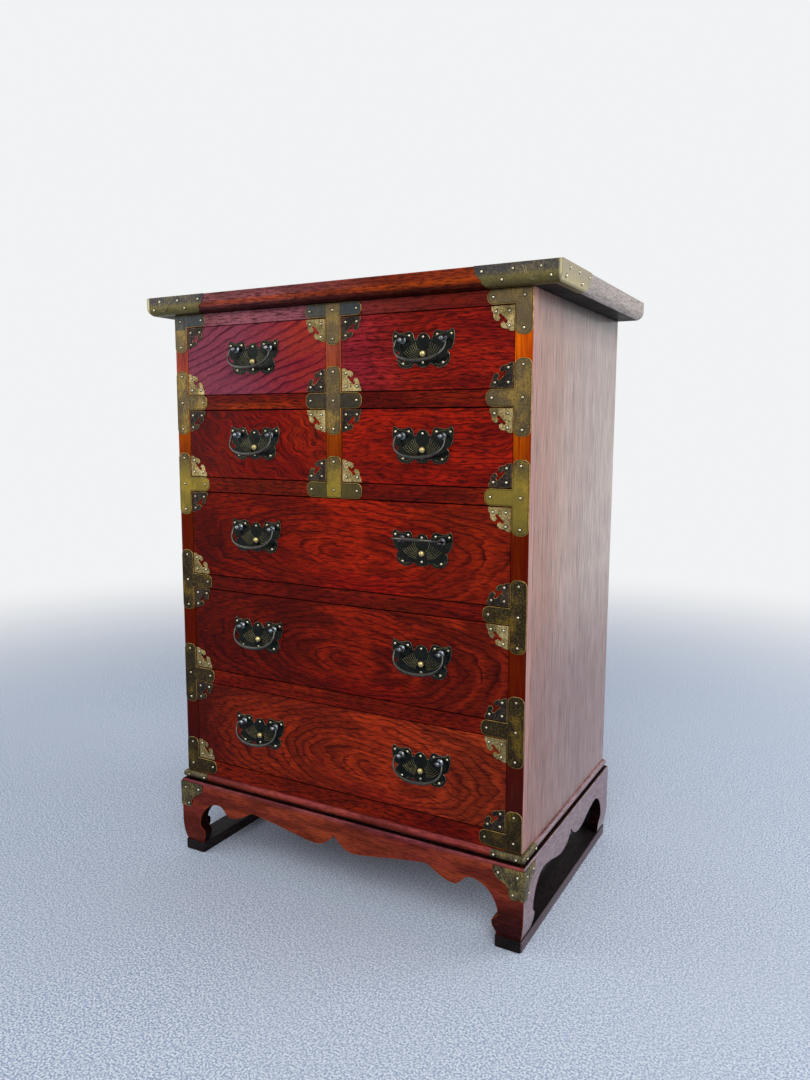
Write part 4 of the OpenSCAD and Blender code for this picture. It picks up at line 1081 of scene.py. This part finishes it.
class Tree(Nodes):
    """A Geometry Nodes tree with named inputs."""

    def __init__(self, name: str, **inputs: str) -> None:
        """Makes the tree.

        Args:
            name: The tree's name.
            **inputs: The kind of socket of each input, by the input's name.
        """
        tree = bpy.data.node_groups.new(name, "GeometryNodeTree")
        super().__init__(tree)
        tree.interface.new_socket("Geometry", in_out="INPUT", socket_type="NodeSocketGeometry")
        tree.interface.new_socket("Geometry", in_out="OUTPUT", socket_type="NodeSocketGeometry")
        self.keys = {
            key: tree.interface.new_socket(key, in_out="INPUT", socket_type=kind).identifier
            for key, kind in inputs.items()
        }
        self.given = self.add("NodeGroupInput").outputs

    def give(self, geometry: Socket) -> None:
        """Makes the geometry the tree's result."""
        self.add("NodeGroupOutput", {0: geometry})

    def set_on(self, piece: Piece, **values: object) -> None:
        """Runs the tree on a piece with these inputs and keeps the result as its mesh.

        Args:
            piece: The object.
            **values: The inputs' values, by name.
        """
        modifier = piece.modifiers.new(self.tree.name, "NODES")
        modifier.node_group = self.tree
        for key, value in values.items():
            modifier[self.keys[key]] = value
        freeze(piece)

    def smooth(self, geometry: Socket) -> Socket:
        """Returns the geometry with smooth shading."""
        return self.out("GeometryNodeSetShadeSmooth", {"Geometry": geometry})

    def finish(self, instances: Socket, material: Socket) -> Socket:
        """Makes instances real and gives them a material."""
        real = self.out("GeometryNodeRealizeInstances", {0: instances})
        return self.out("GeometryNodeSetMaterial", {0: real, "Material": material})


SHADOW_RING_DEPTH = 0.3 * MM


class NailTree(Tree):
    """Sets a domed head on every point, along the point's facing, with a dark ring of painted
    shadow round its foot.
    """

    def __init__(self) -> None:
        """Builds the tree."""
        super().__init__(
            "nails", radius="NodeSocketFloat", height="NodeSocketFloat", collar="NodeSocketFloat",
            uneven="NodeSocketFloat", seed="NodeSocketInt", head_finish="NodeSocketMaterial",
            collar_finish="NodeSocketMaterial",
        )
        given = self.given
        ball = self.add("GeometryNodeMeshUVSphere", {"Segments": 12, "Rings": 8, "Radius": 1.0})
        squashed = self.out(
            "ShaderNodeCombineXYZ", {0: given["radius"], 1: given["radius"], 2: given["height"]}
        )
        head = self.out("GeometryNodeTransform", {0: ball.outputs[0], "Scale": squashed})
        # A thin dark disc under each head: painted shadow.
        collar = {"Vertices": 12, "Radius": given["collar"], "Depth": SHADOW_RING_DEPTH}
        ring = self.out("GeometryNodeMeshCylinder", collar)
        heads = self._scattered(self.smooth(head), given["head_finish"])
        both = self.add("GeometryNodeJoinGeometry", {0: heads})
        self.tree.links.new(self._scattered(ring, given["collar_finish"]), both.inputs[0])
        self.give(both.outputs[0])

    def _scattered(self, shape: Socket, material: Socket) -> Socket:
        """Returns the shape on every point, turned to face outwards and a little uneven.

        Args:
            shape: The shape.
            material: Its finish.

        Returns:
            The finished shapes.
        """
        facing = self.out(
            "GeometryNodeInputNamedAttribute", {"Name": "facing"}, data_type="FLOAT_VECTOR"
        )
        turn = self.out("FunctionNodeAlignRotationToVector", {"Vector": facing}, axis="Z")
        drawn = self.add(
            "FunctionNodeRandomValue",
            {
                2: self.math("SUBTRACT", 1.0, self.given["uneven"]),
                3: self.plus(1.0, self.given["uneven"]),
                8: self.given["seed"],
            },
            data_type="FLOAT",
        ).outputs[1]
        placed = self.out(
            "GeometryNodeInstanceOnPoints",
            {"Points": self.given["Geometry"], "Instance": shape, "Rotation": turn, "Scale": drawn},
        )
        return self.finish(placed, material)


class BarTree(Tree):
    """Sweeps a round bar along every line, as thick as the line's points say."""

    def __init__(self) -> None:
        """Builds the tree."""
        super().__init__("bars", sides="NodeSocketInt", finish="NodeSocketMaterial")
        line = self.out("GeometryNodeMeshToCurve", {0: self.given["Geometry"]})
        thick = self.out(
            "GeometryNodeInputNamedAttribute", {"Name": "thick"}, data_type="FLOAT"
        )
        ring = self.out(
            "GeometryNodeCurvePrimitiveCircle", {"Resolution": self.given["sides"], "Radius": 1.0}
        )
        parts = {"Curve": line, "Profile Curve": ring, "Scale": thick, "Fill Caps": True}
        swept = self.out("GeometryNodeCurveToMesh", parts)
        self.give(self.finish(self.smooth(swept), self.given["finish"]))


NAILS = NailTree()
BARS = BarTree()


def cubic(a: Vector, b: Vector, c: Vector, d: Vector, count: int) -> list[Vector]:
    """Returns points of a cubic curve after its first one.

    Args:
        a: Its start.
        b: The handle at the start.
        c: The handle at the end.
        d: Its end.
        count: How many points.

    Returns:
        The points.
    """
    points = []
    for i in range(1, count + 1):
        t = i / count
        s = 1 - t
        points.append(s**3 * a + 3 * s * s * t * b + 3 * s * t * t * c + t**3 * d)
    return points


@dataclass
class Nailing:
    """The nails of one body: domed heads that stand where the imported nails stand."""

    radius: float = 2.2 * MM
    height: float = 1.6 * MM
    collar: float = 2.85 * MM
    uneven: float = 0.06
    largest: float = 5.5 * MM
    footing: float = 0.995

    def spot(self, island: Island) -> tuple[Vector, Vector]:
        """Finds the middle of a nail's flat foot and the way that the nail faces.

        Args:
            island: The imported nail.

        Returns:
            The middle, and the direction away from the foot.
        """
        areas: dict[tuple[float, ...], float] = {}
        for face in island.faces:
            key = tuple(round(c, 1) for c in face.normal)
            areas[key] = areas.get(key, 0.0) + face.calc_area()
        flat = Vector(max(areas, key=lambda k: areas[k])).normalized()
        feet = [f for f in island.faces if f.normal.dot(flat) > self.footing]
        round_it = dict.fromkeys(v for f in feet for v in f.verts)
        middle = sum((v.co for v in round_it), Vector()) / len(round_it)
        return middle, -flat

    def build(self, name: str, node: str, body: str, slot: str, *nodes: str) -> None:
        """Makes all nails of a node.

        Args:
            name: The piece's name.
            node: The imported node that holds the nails.
            body: The body that carries them.
            slot: The record's slot.
            *nodes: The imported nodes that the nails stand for.
        """
        shape = merged(node)
        spots = [self.spot(i) for i in islands(shape) if max(i.size) < self.largest]
        shape.free()
        mesh = bpy.data.meshes.new(name)
        mesh.from_pydata([tuple(p) for p, _ in spots], [], [])
        facing = mesh.attributes.new("facing", "FLOAT_VECTOR", "POINT")
        facing.data.foreach_set("vector", [c for _, way in spots for c in way])
        piece = linked(bpy.data.objects.new(name, mesh))
        NAILS.set_on(
            piece, radius=self.radius, height=self.height, collar=self.collar, uneven=self.uneven,
            seed=len(spots), head_finish=PALETTE.get(NAIL), collar_finish=PALETTE.get(NAIL_SHADOW_RING),
        )
        settle(piece, body, slot, *nodes)


def bars(
    name: str, lines: Iterable[Sequence[Vector]], thick: Iterable[Sequence[float]],
    sides: int, finish: Polished,
) -> Piece:
    """Makes round bars along lines.

    Args:
        name: The piece's name.
        lines: The points of each bar.
        thick: The bar's radius at each of these points.
        sides: Faces round a bar.
        finish: The bars' metal.

    Returns:
        The piece, not yet settled.
    """
    points: list[tuple[float, ...]] = []
    edges: list[tuple[int, int]] = []
    radii: list[float] = []
    for line, widths in zip(lines, thick):
        first = len(points)
        points += [tuple(p) for p in line]
        radii += list(widths)
        edges += [(i, i + 1) for i in range(first, len(points) - 1)]
    mesh = bpy.data.meshes.new(name)
    mesh.from_pydata(points, edges, [])
    mesh.attributes.new("thick", "FLOAT", "POINT").data.foreach_set("value", radii)
    piece = linked(bpy.data.objects.new(name, mesh))
    BARS.set_on(piece, sides=sides, finish=PALETTE.get(finish))
    return piece


def board_piece(
    node: str, finishes: Sequence[Wood], slot: str, edge: float = 0.9 * MM,
    side_looks: bool = False, cut: Wood | None = None, arris: Wood | None = None,
) -> None:
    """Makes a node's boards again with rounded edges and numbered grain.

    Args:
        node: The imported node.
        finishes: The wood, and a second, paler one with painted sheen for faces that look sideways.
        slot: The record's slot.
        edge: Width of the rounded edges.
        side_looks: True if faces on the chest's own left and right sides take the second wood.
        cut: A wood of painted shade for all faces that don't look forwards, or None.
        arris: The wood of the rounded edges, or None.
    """
    shape = flat(node)
    number_boards(shape, seed=len(node))
    if side_looks:
        for face in shape.faces:
            outward = face.normal.x * face.calc_center_median().x > 0
            if abs(face.normal.x) > FACING and outward:
                face.material_index = 1
    woods = list(finishes)
    if cut:
        for face in shape.faces:
            if face.normal.y > -FORWARDS:
                face.material_index = len(woods)
        woods.append(cut)
    if arris:
        woods.append(arris)
    piece = new_piece(f"{node}_wood", shape, woods)
    soften(piece, edge, 2, len(woods) - 1 if arris else -1)
    settle(piece, frame["nodes"][node]["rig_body"], slot, node)


@dataclass
class Case:
    """The top board, the sides, the front frame and what the drawers run on."""

    edge: float = 0.9 * MM
    top_edge: float = 1.6 * MM

    def build(self) -> None:
        """Makes every board of the case."""
        self._top_board()
        for side in ("left", "right"):
            board_piece(f"side_panel_{side}", [SIDE], "side_wood", self.edge)
            stile = STILE_LEFT if side == "left" else STILE
            woods = [stile, STILE_SIDE]
            board_piece(f"stile_{side}", woods, "frame_wood", self.edge, side_looks=True)
        board_piece("top_rail", [TOP_RAIL], "frame_wood", self.edge)
        for node in ("drawer_rails", "bottom_rail"):
            # The rails' rounded edges take the painted shadow of the gaps.
            board_piece(node, [RAIL], "frame_wood", self.edge, arris=SEAM_SHADOW)
        board_piece("centre_muntins", [MUNTIN], "frame_wood", self.edge)
        board_piece("back_boards", [BACK], "inner_wood", self.edge)
        self._inside()

    def _top_board(self) -> None:
        """Makes the top board: one wood above, another along its front and back edges, painted
        sheen on its ends and painted shade below.
        """
        shape = flat("top_board")
        for face in shape.faces:
            if face.normal.z < -SQUARELY:
                face.material_index = 3
            elif face.normal.z < SQUARELY:
                face.material_index = 2 if abs(face.normal.x) > abs(face.normal.y) else 1
        piece = new_piece("top_board_wood", shape, [TOP, TOP_EDGE, TOP_SIDE, UNDERSIDE_SHADE])
        soften(piece, self.top_edge, 3)
        settle(piece, CASE, "top_wood", "top_board")

    def _inside(self) -> None:
        """Gives the boards inside the case their plain wood."""
        inside = {
            INNER: ("bottom_board", "dust_boards", "drawer_stops", "back_rails"),
            INNER_UPRIGHT: ("side_bearers", "centre_bearers"),
        }
        for finish, nodes in inside.items():
            for node in nodes:
                cad = frame["nodes"][node]
                cad.data.materials.clear()
                cad.data.materials.append(PALETTE.get(finish))
                LOG.info("%s keeps its packed shape", node)


@dataclass
class Base:
    """The plinth board with its bead, the shaped aprons and the floor runners."""

    edge: float = 1.3 * MM
    bead_edge: float = 0.5 * MM
    runner_edge: float = 1.8 * MM

    def build(self) -> None:
        """Makes every board of the base."""
        woods = [PLINTH, BASE_SIDE]
        board_piece("plinth_board", woods, "frame_wood", self.bead_edge, side_looks=True)
        # The arch's cut faces take painted shade.
        board_piece("front_apron", [BASE], "frame_wood", self.edge, cut=ARCH_SHADE, arris=WORN_WOOD)
        board_piece("back_apron", [BACK], "inner_wood", self.edge)
        board_piece("corner_blocks", [UNDERSIDE_SHADE], "inner_wood", self.edge)
        for side in ("left", "right"):
            # Painted shade on all faces of the side aprons but the outer ones, which carry painted
            # sheen.
            woods = [ARCH_SHADE, BASE_SIDE]
            board_piece(f"side_apron_{side}", woods, "side_wood", self.edge, side_looks=True)
            woods = [RUNNER, RUNNER_SIDE]
            board_piece(f"runner_{side}", woods, "runner_wood", self.runner_edge, side_looks=True)


@dataclass
class FramePlates:
    """The brass plates on the front frame, the caps of the top board and the base plates."""

    edge: float = 0.45 * MM
    rim: float = 2.4 * MM
    chased: float = 0.5 * MM
    margin: float = 5 * MM
    leaf_tips: tuple[tuple[int, int, int], ...] = (
        (40, 30, 33), (40, 53, 50), (37, 27, 30), (43, 56, 53),
    )

    def build(self) -> None:
        """Makes the plates and their nails."""
        shape = flat("frame_plates")
        mark_rim(shape, self.rim, FRONTWARDS)
        self._finish("frame_plates", shape, PLATE)
        plain = {"top_cap_left": CAP_PLATE, "top_cap_right": CAP_PLATE, "base_plates": BASE_PLATE}
        for node, brass in plain.items():
            shape = flat(node)
            self._finish(node, shape, brass)
        for side in ("left", "right"):
            self._chased_cap(side)
        Nailing().build("frame_nail_heads", "frame_nails", CASE, "nail_brass", "frame_nails")

    def _chased_cap(self, side: str) -> None:
        """Draws the chased leaf tips on the front arm of a cap.

        Each line has three distances from the corner in millimetres: at its lower end, at its
        upper end and where it bends.

        Args:
            side: left or right.
        """
        low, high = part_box(f"top_cap_{side}")
        face, foot, crown = low.y, low.z + self.margin, high.z - self.margin
        corner, inward = (high.x, -1) if side == "right" else (low.x, 1)
        lines = []
        for tip, crown_at, bend in self.leaf_tips:
            start = Vector((corner + inward * tip * MM, face, foot))
            middle = Vector((corner + inward * bend * MM, face, foot + 0.45 * (crown - foot)))
            end = Vector((corner + inward * crown_at * MM, face, crown))
            lines.append([start, *cubic(start, middle, middle, end, 8)])
        widths = [[self.chased] * len(line) for line in lines]
        chasing = bars(f"top_cap_{side}_chasing", lines, widths, 6, CHASING)
        settle(chasing, CASE, "plate_brass")

    def _finish(self, node: str, shape: BMesh, brass: Brass) -> None:
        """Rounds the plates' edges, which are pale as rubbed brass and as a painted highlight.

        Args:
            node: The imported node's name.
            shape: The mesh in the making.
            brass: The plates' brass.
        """
        piece = new_piece(f"{node}_brass", shape, [brass, EDGE_GOLD])
        soften(piece, self.edge, 2, 1, PLATE_ANGLE)
        settle(piece, CASE, "plate_brass", node)


@dataclass
class Handle:
    """One bat-shaped handle plate with chased feather lines beside its knob."""

    knob: Vector
    line: float = 0.28 * MM
    feathers: int = 7

    def chased_lines(self) -> list[list[Vector]]:
        """Returns the chased lines on both sides of the knob, on the plate's face.

        The numbers are millimetres to the side of and above the knob.

        Returns:
            The points of each line: first the feathers, then a bow on the ear and on the lobe.
        """
        lines = []
        for side in (-1, 1):
            for i in range(self.feathers):
                share = i / (self.feathers - 1)
                start = Vector((33 - 20 * share, 4 + 13 * share))
                end = Vector((9.5 - 3.5 * share, -8 + 13 * share))
                sag = (start + end) / 2 + Vector((1.5, -3.5))
                lines.append(self._on_plate([start, *cubic(start, sag, sag, end, 9)], side))
            ear = Vector((19, 24)), Vector((27, 30)), Vector((36, 27)), Vector((45, 31))
            lobe = Vector((20, -14)), Vector((27, -19)), Vector((35, -17)), Vector((41, -8))
            for bow in (ear, lobe):
                lines.append(self._on_plate([bow[0], *cubic(*bow, 9)], side))
        return lines

    def _on_plate(self, points: Sequence[Vector], side: int) -> list[Vector]:
        """Places flat points, in millimetres from the knob, on the plate's face."""
        return [self.knob + Vector((side * p.x * MM, 0, p.y * MM)) for p in points]


@dataclass(frozen=True)
class DrawerLook:
    """The figure that a drawer front shows."""

    key: str
    wood: Wood


def front_wood(key: str, dark: str, mid: str, light: str, **figure: object) -> DrawerLook:
    """Returns the look of one drawer front."""
    return DrawerLook(key, Wood(f"{key}_front_wood", dark, mid, light, **figure))


# The fronts' veils are painted light: SHADE and the other dark veils on the left parts are painted
# shade, the warm veils on the right painted light, and the mauve veils on the top row painted
# sheen.
SHADE = "340302"
DRAWER_LOOKS = (
    front_wood(
        "top_left", "34041a", "8e2028", "b03824", slant=-0.36, pitch=15 * MM, wander=9 * MM,
        line=1.0, fibres=0.3, fineness=1.3, pores=0.3, glow=0.7, mottle=0.15,
        veils=(Veil(Axis.X, "82445a", ((0.2, 0.75), (0.32, 0.6), (0.43, 0.0))),),
    ),
    front_wood(
        "top_right", "340404", "8c120c", "bc2e10", pitch=10 * MM, wander=15 * MM, line=0.75,
        glow=0.45,
        veils=(Veil(Axis.X, "8c2848", ((0.52, 0.45), (0.64, 0.0))),),
    ),
    front_wood(
        "second_left", "340404", "8a1006", "be320a", slant=0.5, pitch=14 * MM, wander=28 * MM,
        line=0.85, glow=0.55,
        veils=(Veil(Axis.X, SHADE, ((0.2, 0.6), (0.38, 0.0))),),
    ),
    front_wood(
        "second_right", "340303", "8c0f06", "bc280a", pitch=9 * MM, wander=16 * MM, line=0.75,
        glow=0.45,
    ),
    front_wood(
        "third", "300202", "8e0e06", "ba2e08", figure=Figure.OVAL, centre=(0.02, 0.585), oval=0.24,
        pitch=9 * MM, wander=22 * MM, line=1.0, glow=0.5, mottle=0.55, fibres=0.6, pores=0.5,
        veils=(
            Veil(Axis.X, "480402", ((0.22, 0.75), (0.46, 0.0))),
            Veil(Axis.X, "b4340c", ((0.6, 0.0), (0.74, 0.5))),
        ),
    ),
    front_wood(
        "fourth", "2a0202", "740c05", "a62a0a", figure=Figure.OVAL, centre=(0.03, 0.408), oval=0.3,
        pitch=9 * MM, wander=22 * MM, line=1.0, glow=0.5, mottle=0.65, fibres=0.6, pores=0.5,
        veils=(
            Veil(Axis.X, SHADE, ((0.22, 0.8), (0.48, 0.0))),
            Veil(Axis.X, "aa3010", ((0.6, 0.0), (0.74, 0.6))),
        ),
    ),
    front_wood(
        "bottom", "340604", "881c0e", "b63a14", figure=Figure.OVAL, centre=(0.08, 0.235), oval=0.34,
        pitch=9 * MM, wander=28 * MM, line=1.0, glow=0.6, mottle=0.55, fibres=0.6, pores=0.5,
        veils=(
            Veil(Axis.X, "3c0a06", ((0.2, 0.85), (0.44, 0.0))),
            Veil(Axis.X, "ac401c", ((0.6, 0.0), (0.74, 0.6))),
        ),
    ),
)


@dataclass
class Drawer:
    """A drawer: its figured front, its box, corner plates, handles and nails."""

    look: DrawerLook
    front_edge: float = 1.0 * MM
    box_edge: float = 0.6 * MM
    plate_edge: float = 0.35 * MM
    corner_size: float = 35 * MM
    corner_rim: float = 1.1 * MM
    plate_least: float = 90 * MM
    post_depth: float = 18 * MM
    knob_size: float = 10 * MM

    @property
    def body(self) -> str:
        """The body that the drawer is."""
        return f"{self.look.key}_drawer"

    @property
    def mounts(self) -> str:
        """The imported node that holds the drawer's metalwork."""
        return f"{self.body}_mounts"

    def build(self) -> None:
        """Makes the drawer's pieces."""
        self._front()
        self._box()
        self._corner_plates()
        self._handle_plates()
        self._posts_and_knobs()
        Nailing().build(f"{self.body}_nails", self.mounts, self.body, "nail_brass")

    def _front(self) -> None:
        """Makes the front board with its own figure, bare on its inner side."""
        node = f"{self.body}_front"
        shape = flat(node)
        for face in shape.faces:
            if face.normal.y > FACING:
                face.material_index = 2
        # The rounded edges take the painted shadow of the gaps round the front.
        piece = new_piece(f"{node}_wood", shape, [self.look.wood, SEAM_SHADOW, INNER])
        soften(piece, self.front_edge, 2, 1)
        settle(piece, self.body, "front_wood", node)

    def _box(self) -> None:
        """Makes the sides, the back and the bottom."""
        node = f"{self.body}_box"
        shape = flat(node)
        number_boards(shape, seed=len(node))
        for face in shape.faces:
            if abs(face.normal.x) > FACING:
                face.material_index = 1
        piece = new_piece(f"{node}_wood", shape, [INNER, INNER_UPRIGHT])
        soften(piece, self.box_edge)
        settle(piece, self.body, "inner_wood", node)

    def _corner_plates(self) -> None:
        """Makes the four corner plates, pale on one diagonal and dark on the other."""
        shape = chosen(self.mounts, self._is_corner_plate)
        flatten(shape)
        mark_rim(shape, self.corner_rim, FRONTWARDS)
        found = islands(shape)
        middle = sum((i.middle for i in found), Vector()) / len(found)
        for island in found:
            away = island.middle - middle
            tone = Tone.PALE if away.x * away.z > 0 else Tone.DARK
            for face in island.faces:
                face.material_index = 0 if tone is Tone.PALE else 1
        brasses = [CORNER_PALE, CORNER_DARK, EDGE_GOLD]
        piece = new_piece(f"{self.body}_corner_plates", shape, brasses)
        soften(piece, self.plate_edge, 2, 2, PLATE_ANGLE)
        settle(piece, self.body, "handle_brass", self.mounts)

    def _handle_plates(self) -> None:
        """Makes the handle plates and the lines chased on them."""
        shape = chosen(self.mounts, lambda i: i.size.x > self.plate_least)
        flatten(shape)
        face_y = min(v.co.y for v in shape.verts)
        handles = [Handle(Vector((k.x, face_y, k.z))) for k in self._knobs()]
        piece = new_piece(f"{self.body}_handle_plates", shape, [HANDLE_BLACK, EDGE_GREY])
        soften(piece, self.plate_edge, 2, 1, PLATE_ANGLE)
        settle(piece, self.body, "handle_brass")
        lines = [line for handle in handles for line in handle.chased_lines()]
        widths = [[handles[0].line] * len(line) for line in lines]
        chasing = bars(f"{self.body}_chasing", lines, widths, 6, CHASING)
        settle(chasing, self.body, "handle_brass")

    def _is_corner_plate(self, island: Island) -> bool:
        """Tells whether a solid is one of the thin square plates at the front's corners."""
        return abs(island.size.x - self.corner_size) < MM and island.size.y < 2 * MM

    def _is_knob(self, island: Island) -> bool:
        """Tells whether a solid is one of the domed knobs."""
        return abs(island.size.x - self.knob_size) < MM and island.size.y < 10 * MM

    def _knobs(self) -> list[Vector]:
        """Returns the middle of each domed knob.

        Returns:
            The middles, one for each handle.
        """
        shape = merged(self.mounts)
        places = [i.middle.copy() for i in islands(shape) if self._is_knob(i)]
        shape.free()
        return places

    def _posts_and_knobs(self) -> None:
        """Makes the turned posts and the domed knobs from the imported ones."""
        for label, test, finish in (
            ("posts", lambda i: i.size.y > self.post_depth, POST),
            ("knobs", self._is_knob, KNOB),
        ):
            shape = chosen(self.mounts, test)
            piece = new_piece(f"{self.body}_{label}", shape, [finish])
            piece.data.shade_smooth()
            piece.data.set_sharp_from_angle(angle=math.radians(SHARP_ANGLE))
            settle(piece, self.body, "handle_brass")


@dataclass
class Bail:
    """A swinging bail: two pins in the posts and a bar that swells towards its middle."""

    name: str
    pin_in: float = 28.2 * MM
    pin_out: float = 38.8 * MM
    bow: float = 42 * MM
    drop: float = 33.8 * MM
    end_radius: float = 1.5 * MM
    middle_radius: float = 3.0 * MM
    sides: int = 16

    def build(self) -> None:
        """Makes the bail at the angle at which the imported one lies."""
        joint = next(j for j in frame["joints"] if j["child"] == self.name)
        pivot = Vector(joint["pos_m"])
        low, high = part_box(self.name)
        out = min(1.0, (pivot.y - low.y - self.middle_radius) / self.drop)
        raised = high.z - pivot.z > pivot.z - low.z
        lean = math.pi - math.asin(out) if raised else math.asin(out)
        turn = Matrix.Rotation(-lean, 3, "X")
        half, radii = self._half()
        line = half + [Vector((-p.x, 0, p.z)) for p in reversed(half[:-1])]
        widths = radii + list(reversed(radii[:-1]))
        points = [pivot + turn @ p for p in line]
        piece = bars(f"{self.name}_bar", [points], [widths], self.sides, BAIL)
        settle(piece, self.name, "handle_brass", self.name)

    def _half(self) -> tuple[list[Vector], list[float]]:
        """Returns the right half of the bail's centre line with its radius at each point.

        Returns:
            The points from the pin to the middle, and the radii.
        """
        pin = Vector((self.pin_in, 0, 0))
        neck = Vector((self.pin_out + 0.7 * MM, 0, 0))
        elbow = Vector((self.bow, 0, -10.5 * MM))
        bottom = Vector((0, 0, -self.drop))
        points = [pin, pin.lerp(neck, 0.5), neck]
        leave = Vector((self.bow - 0.8 * MM, 0, 0))
        reach = Vector((self.bow + 0.3 * MM, 0, -4 * MM))
        points += cubic(neck, leave, reach, elbow, 10)
        first = len(points)
        leave = elbow + Vector((-0.4, 0, -11.5)) * MM
        reach = Vector((self.bow - 13 * MM, 0, -self.drop))
        points += cubic(elbow, leave, reach, bottom, 22)
        radii = []
        for i in range(len(points)):
            t = max(0, i - first + 1) / (len(points) - first)
            grown = t * t * (3 - 2 * t)
            radii.append(self.end_radius + (self.middle_radius - self.end_radius) * grown)
        return points, radii


@dataclass(frozen=True)
class Lamp:
    """A soft square lamp that looks at a point."""

    name: str
    place: tuple[float, float, float]
    target: tuple[float, float, float]
    size: float
    power: float

    def build(self) -> None:
        """Makes the lamp."""
        data = bpy.data.lights.new(self.name, "AREA")
        data.size = self.size
        data.energy = self.power
        lamp = linked(bpy.data.objects.new(self.name, data))
        lamp.location = self.place
        way = Vector(self.target) - Vector(self.place)
        lamp.rotation_euler = way.to_track_quat("-Z", "Y").to_euler()


@dataclass
class Studio:
    """The camera at the photograph's angle, soft lights and a pale floor."""

    camera_at: Vector = field(default_factory=lambda: Vector((0.74387, -1.30588, 0.77491)))
    yaw: float = 28.9936
    pitch: float = 7.413
    roll: float = 0.1926
    lens: float = 28.006
    sensor: float = 36.0
    floor_half: float = 9.0
    floor_drop: float = 0.2 * MM
    lamps: tuple[Lamp, ...] = (
        Lamp("key", (1.3, -2.6, 2.5), (0, 0, 0.5), 2.4, 62),
        Lamp("left", (-2.6, -1.7, 1.5), (0, 0, 0.5), 2.0, 16),
        Lamp("right", (2.7, 1.4, 1.3), (0.2, 0, 0.5), 2.2, 46),
    )

    def build(self) -> None:
        """Makes the camera, the lamps, the world and the floor."""
        self._camera()
        for lamp in self.lamps:
            lamp.build()
        self._world()
        self._floor()

    def _camera(self) -> None:
        """Makes the camera from its place and its three angles."""
        yaw, pitch, roll = (math.radians(a) for a in (self.yaw, self.pitch, self.roll))
        level_part = math.cos(pitch)
        ahead = Vector((-math.sin(yaw) * level_part, math.cos(yaw) * level_part, -math.sin(pitch)))
        level = Vector((math.cos(yaw), math.sin(yaw), 0))
        above = level.cross(ahead)
        right = math.cos(roll) * level + math.sin(roll) * above
        up = -math.sin(roll) * level + math.cos(roll) * above
        data = bpy.data.cameras.new("camera")
        data.lens = self.lens
        data.sensor_width = self.sensor
        camera = linked(bpy.data.objects.new("camera", data))
        turned = Matrix((right, up, -ahead)).transposed().to_4x4()
        camera.matrix_world = Matrix.Translation(self.camera_at) @ turned
        bpy.context.scene.camera = camera

    def _world(self) -> None:
        """Makes a pale world that shows white to the camera and in reflections."""
        world = bpy.data.worlds.new("world")
        bpy.context.scene.world = world
        world.use_nodes = True
        nodes = Nodes(world.node_tree)
        plain = nodes.out("ShaderNodeBackground", SKY)
        white = nodes.out("ShaderNodeBackground", BACKDROP)
        mix = nodes.out("ShaderNodeMixShader", {0: nodes.seen_directly(), 1: plain, 2: white})
        nodes.add("ShaderNodeOutputWorld", {"Surface": mix})

    def _floor(self) -> None:
        """Makes the floor: pale carpet near the chest that runs out into white."""
        shape = bmesh.new()
        bmesh.ops.create_grid(shape, x_segments=1, y_segments=1, size=self.floor_half)
        floor = new_piece("floor", shape, [Carpet()])
        floor.data.transform(Matrix.Translation((0, 0, -self.floor_drop)))


def main() -> None:
    """Builds the chest and its studio."""
    logging.basicConfig(level=logging.INFO, format="%(name)s: %(message)s")
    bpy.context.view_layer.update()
    Studio().build()
    Case().build()
    Base().build()
    FramePlates().build()
    for look in DRAWER_LOOKS:
        Drawer(look).build()
    for joint in frame["joints"]:
        if joint["child"].endswith("_bail"):
            Bail(joint["child"]).build()
    bpy.context.scene.view_settings.view_transform = "Standard"


if __name__ == "__main__":
    main()
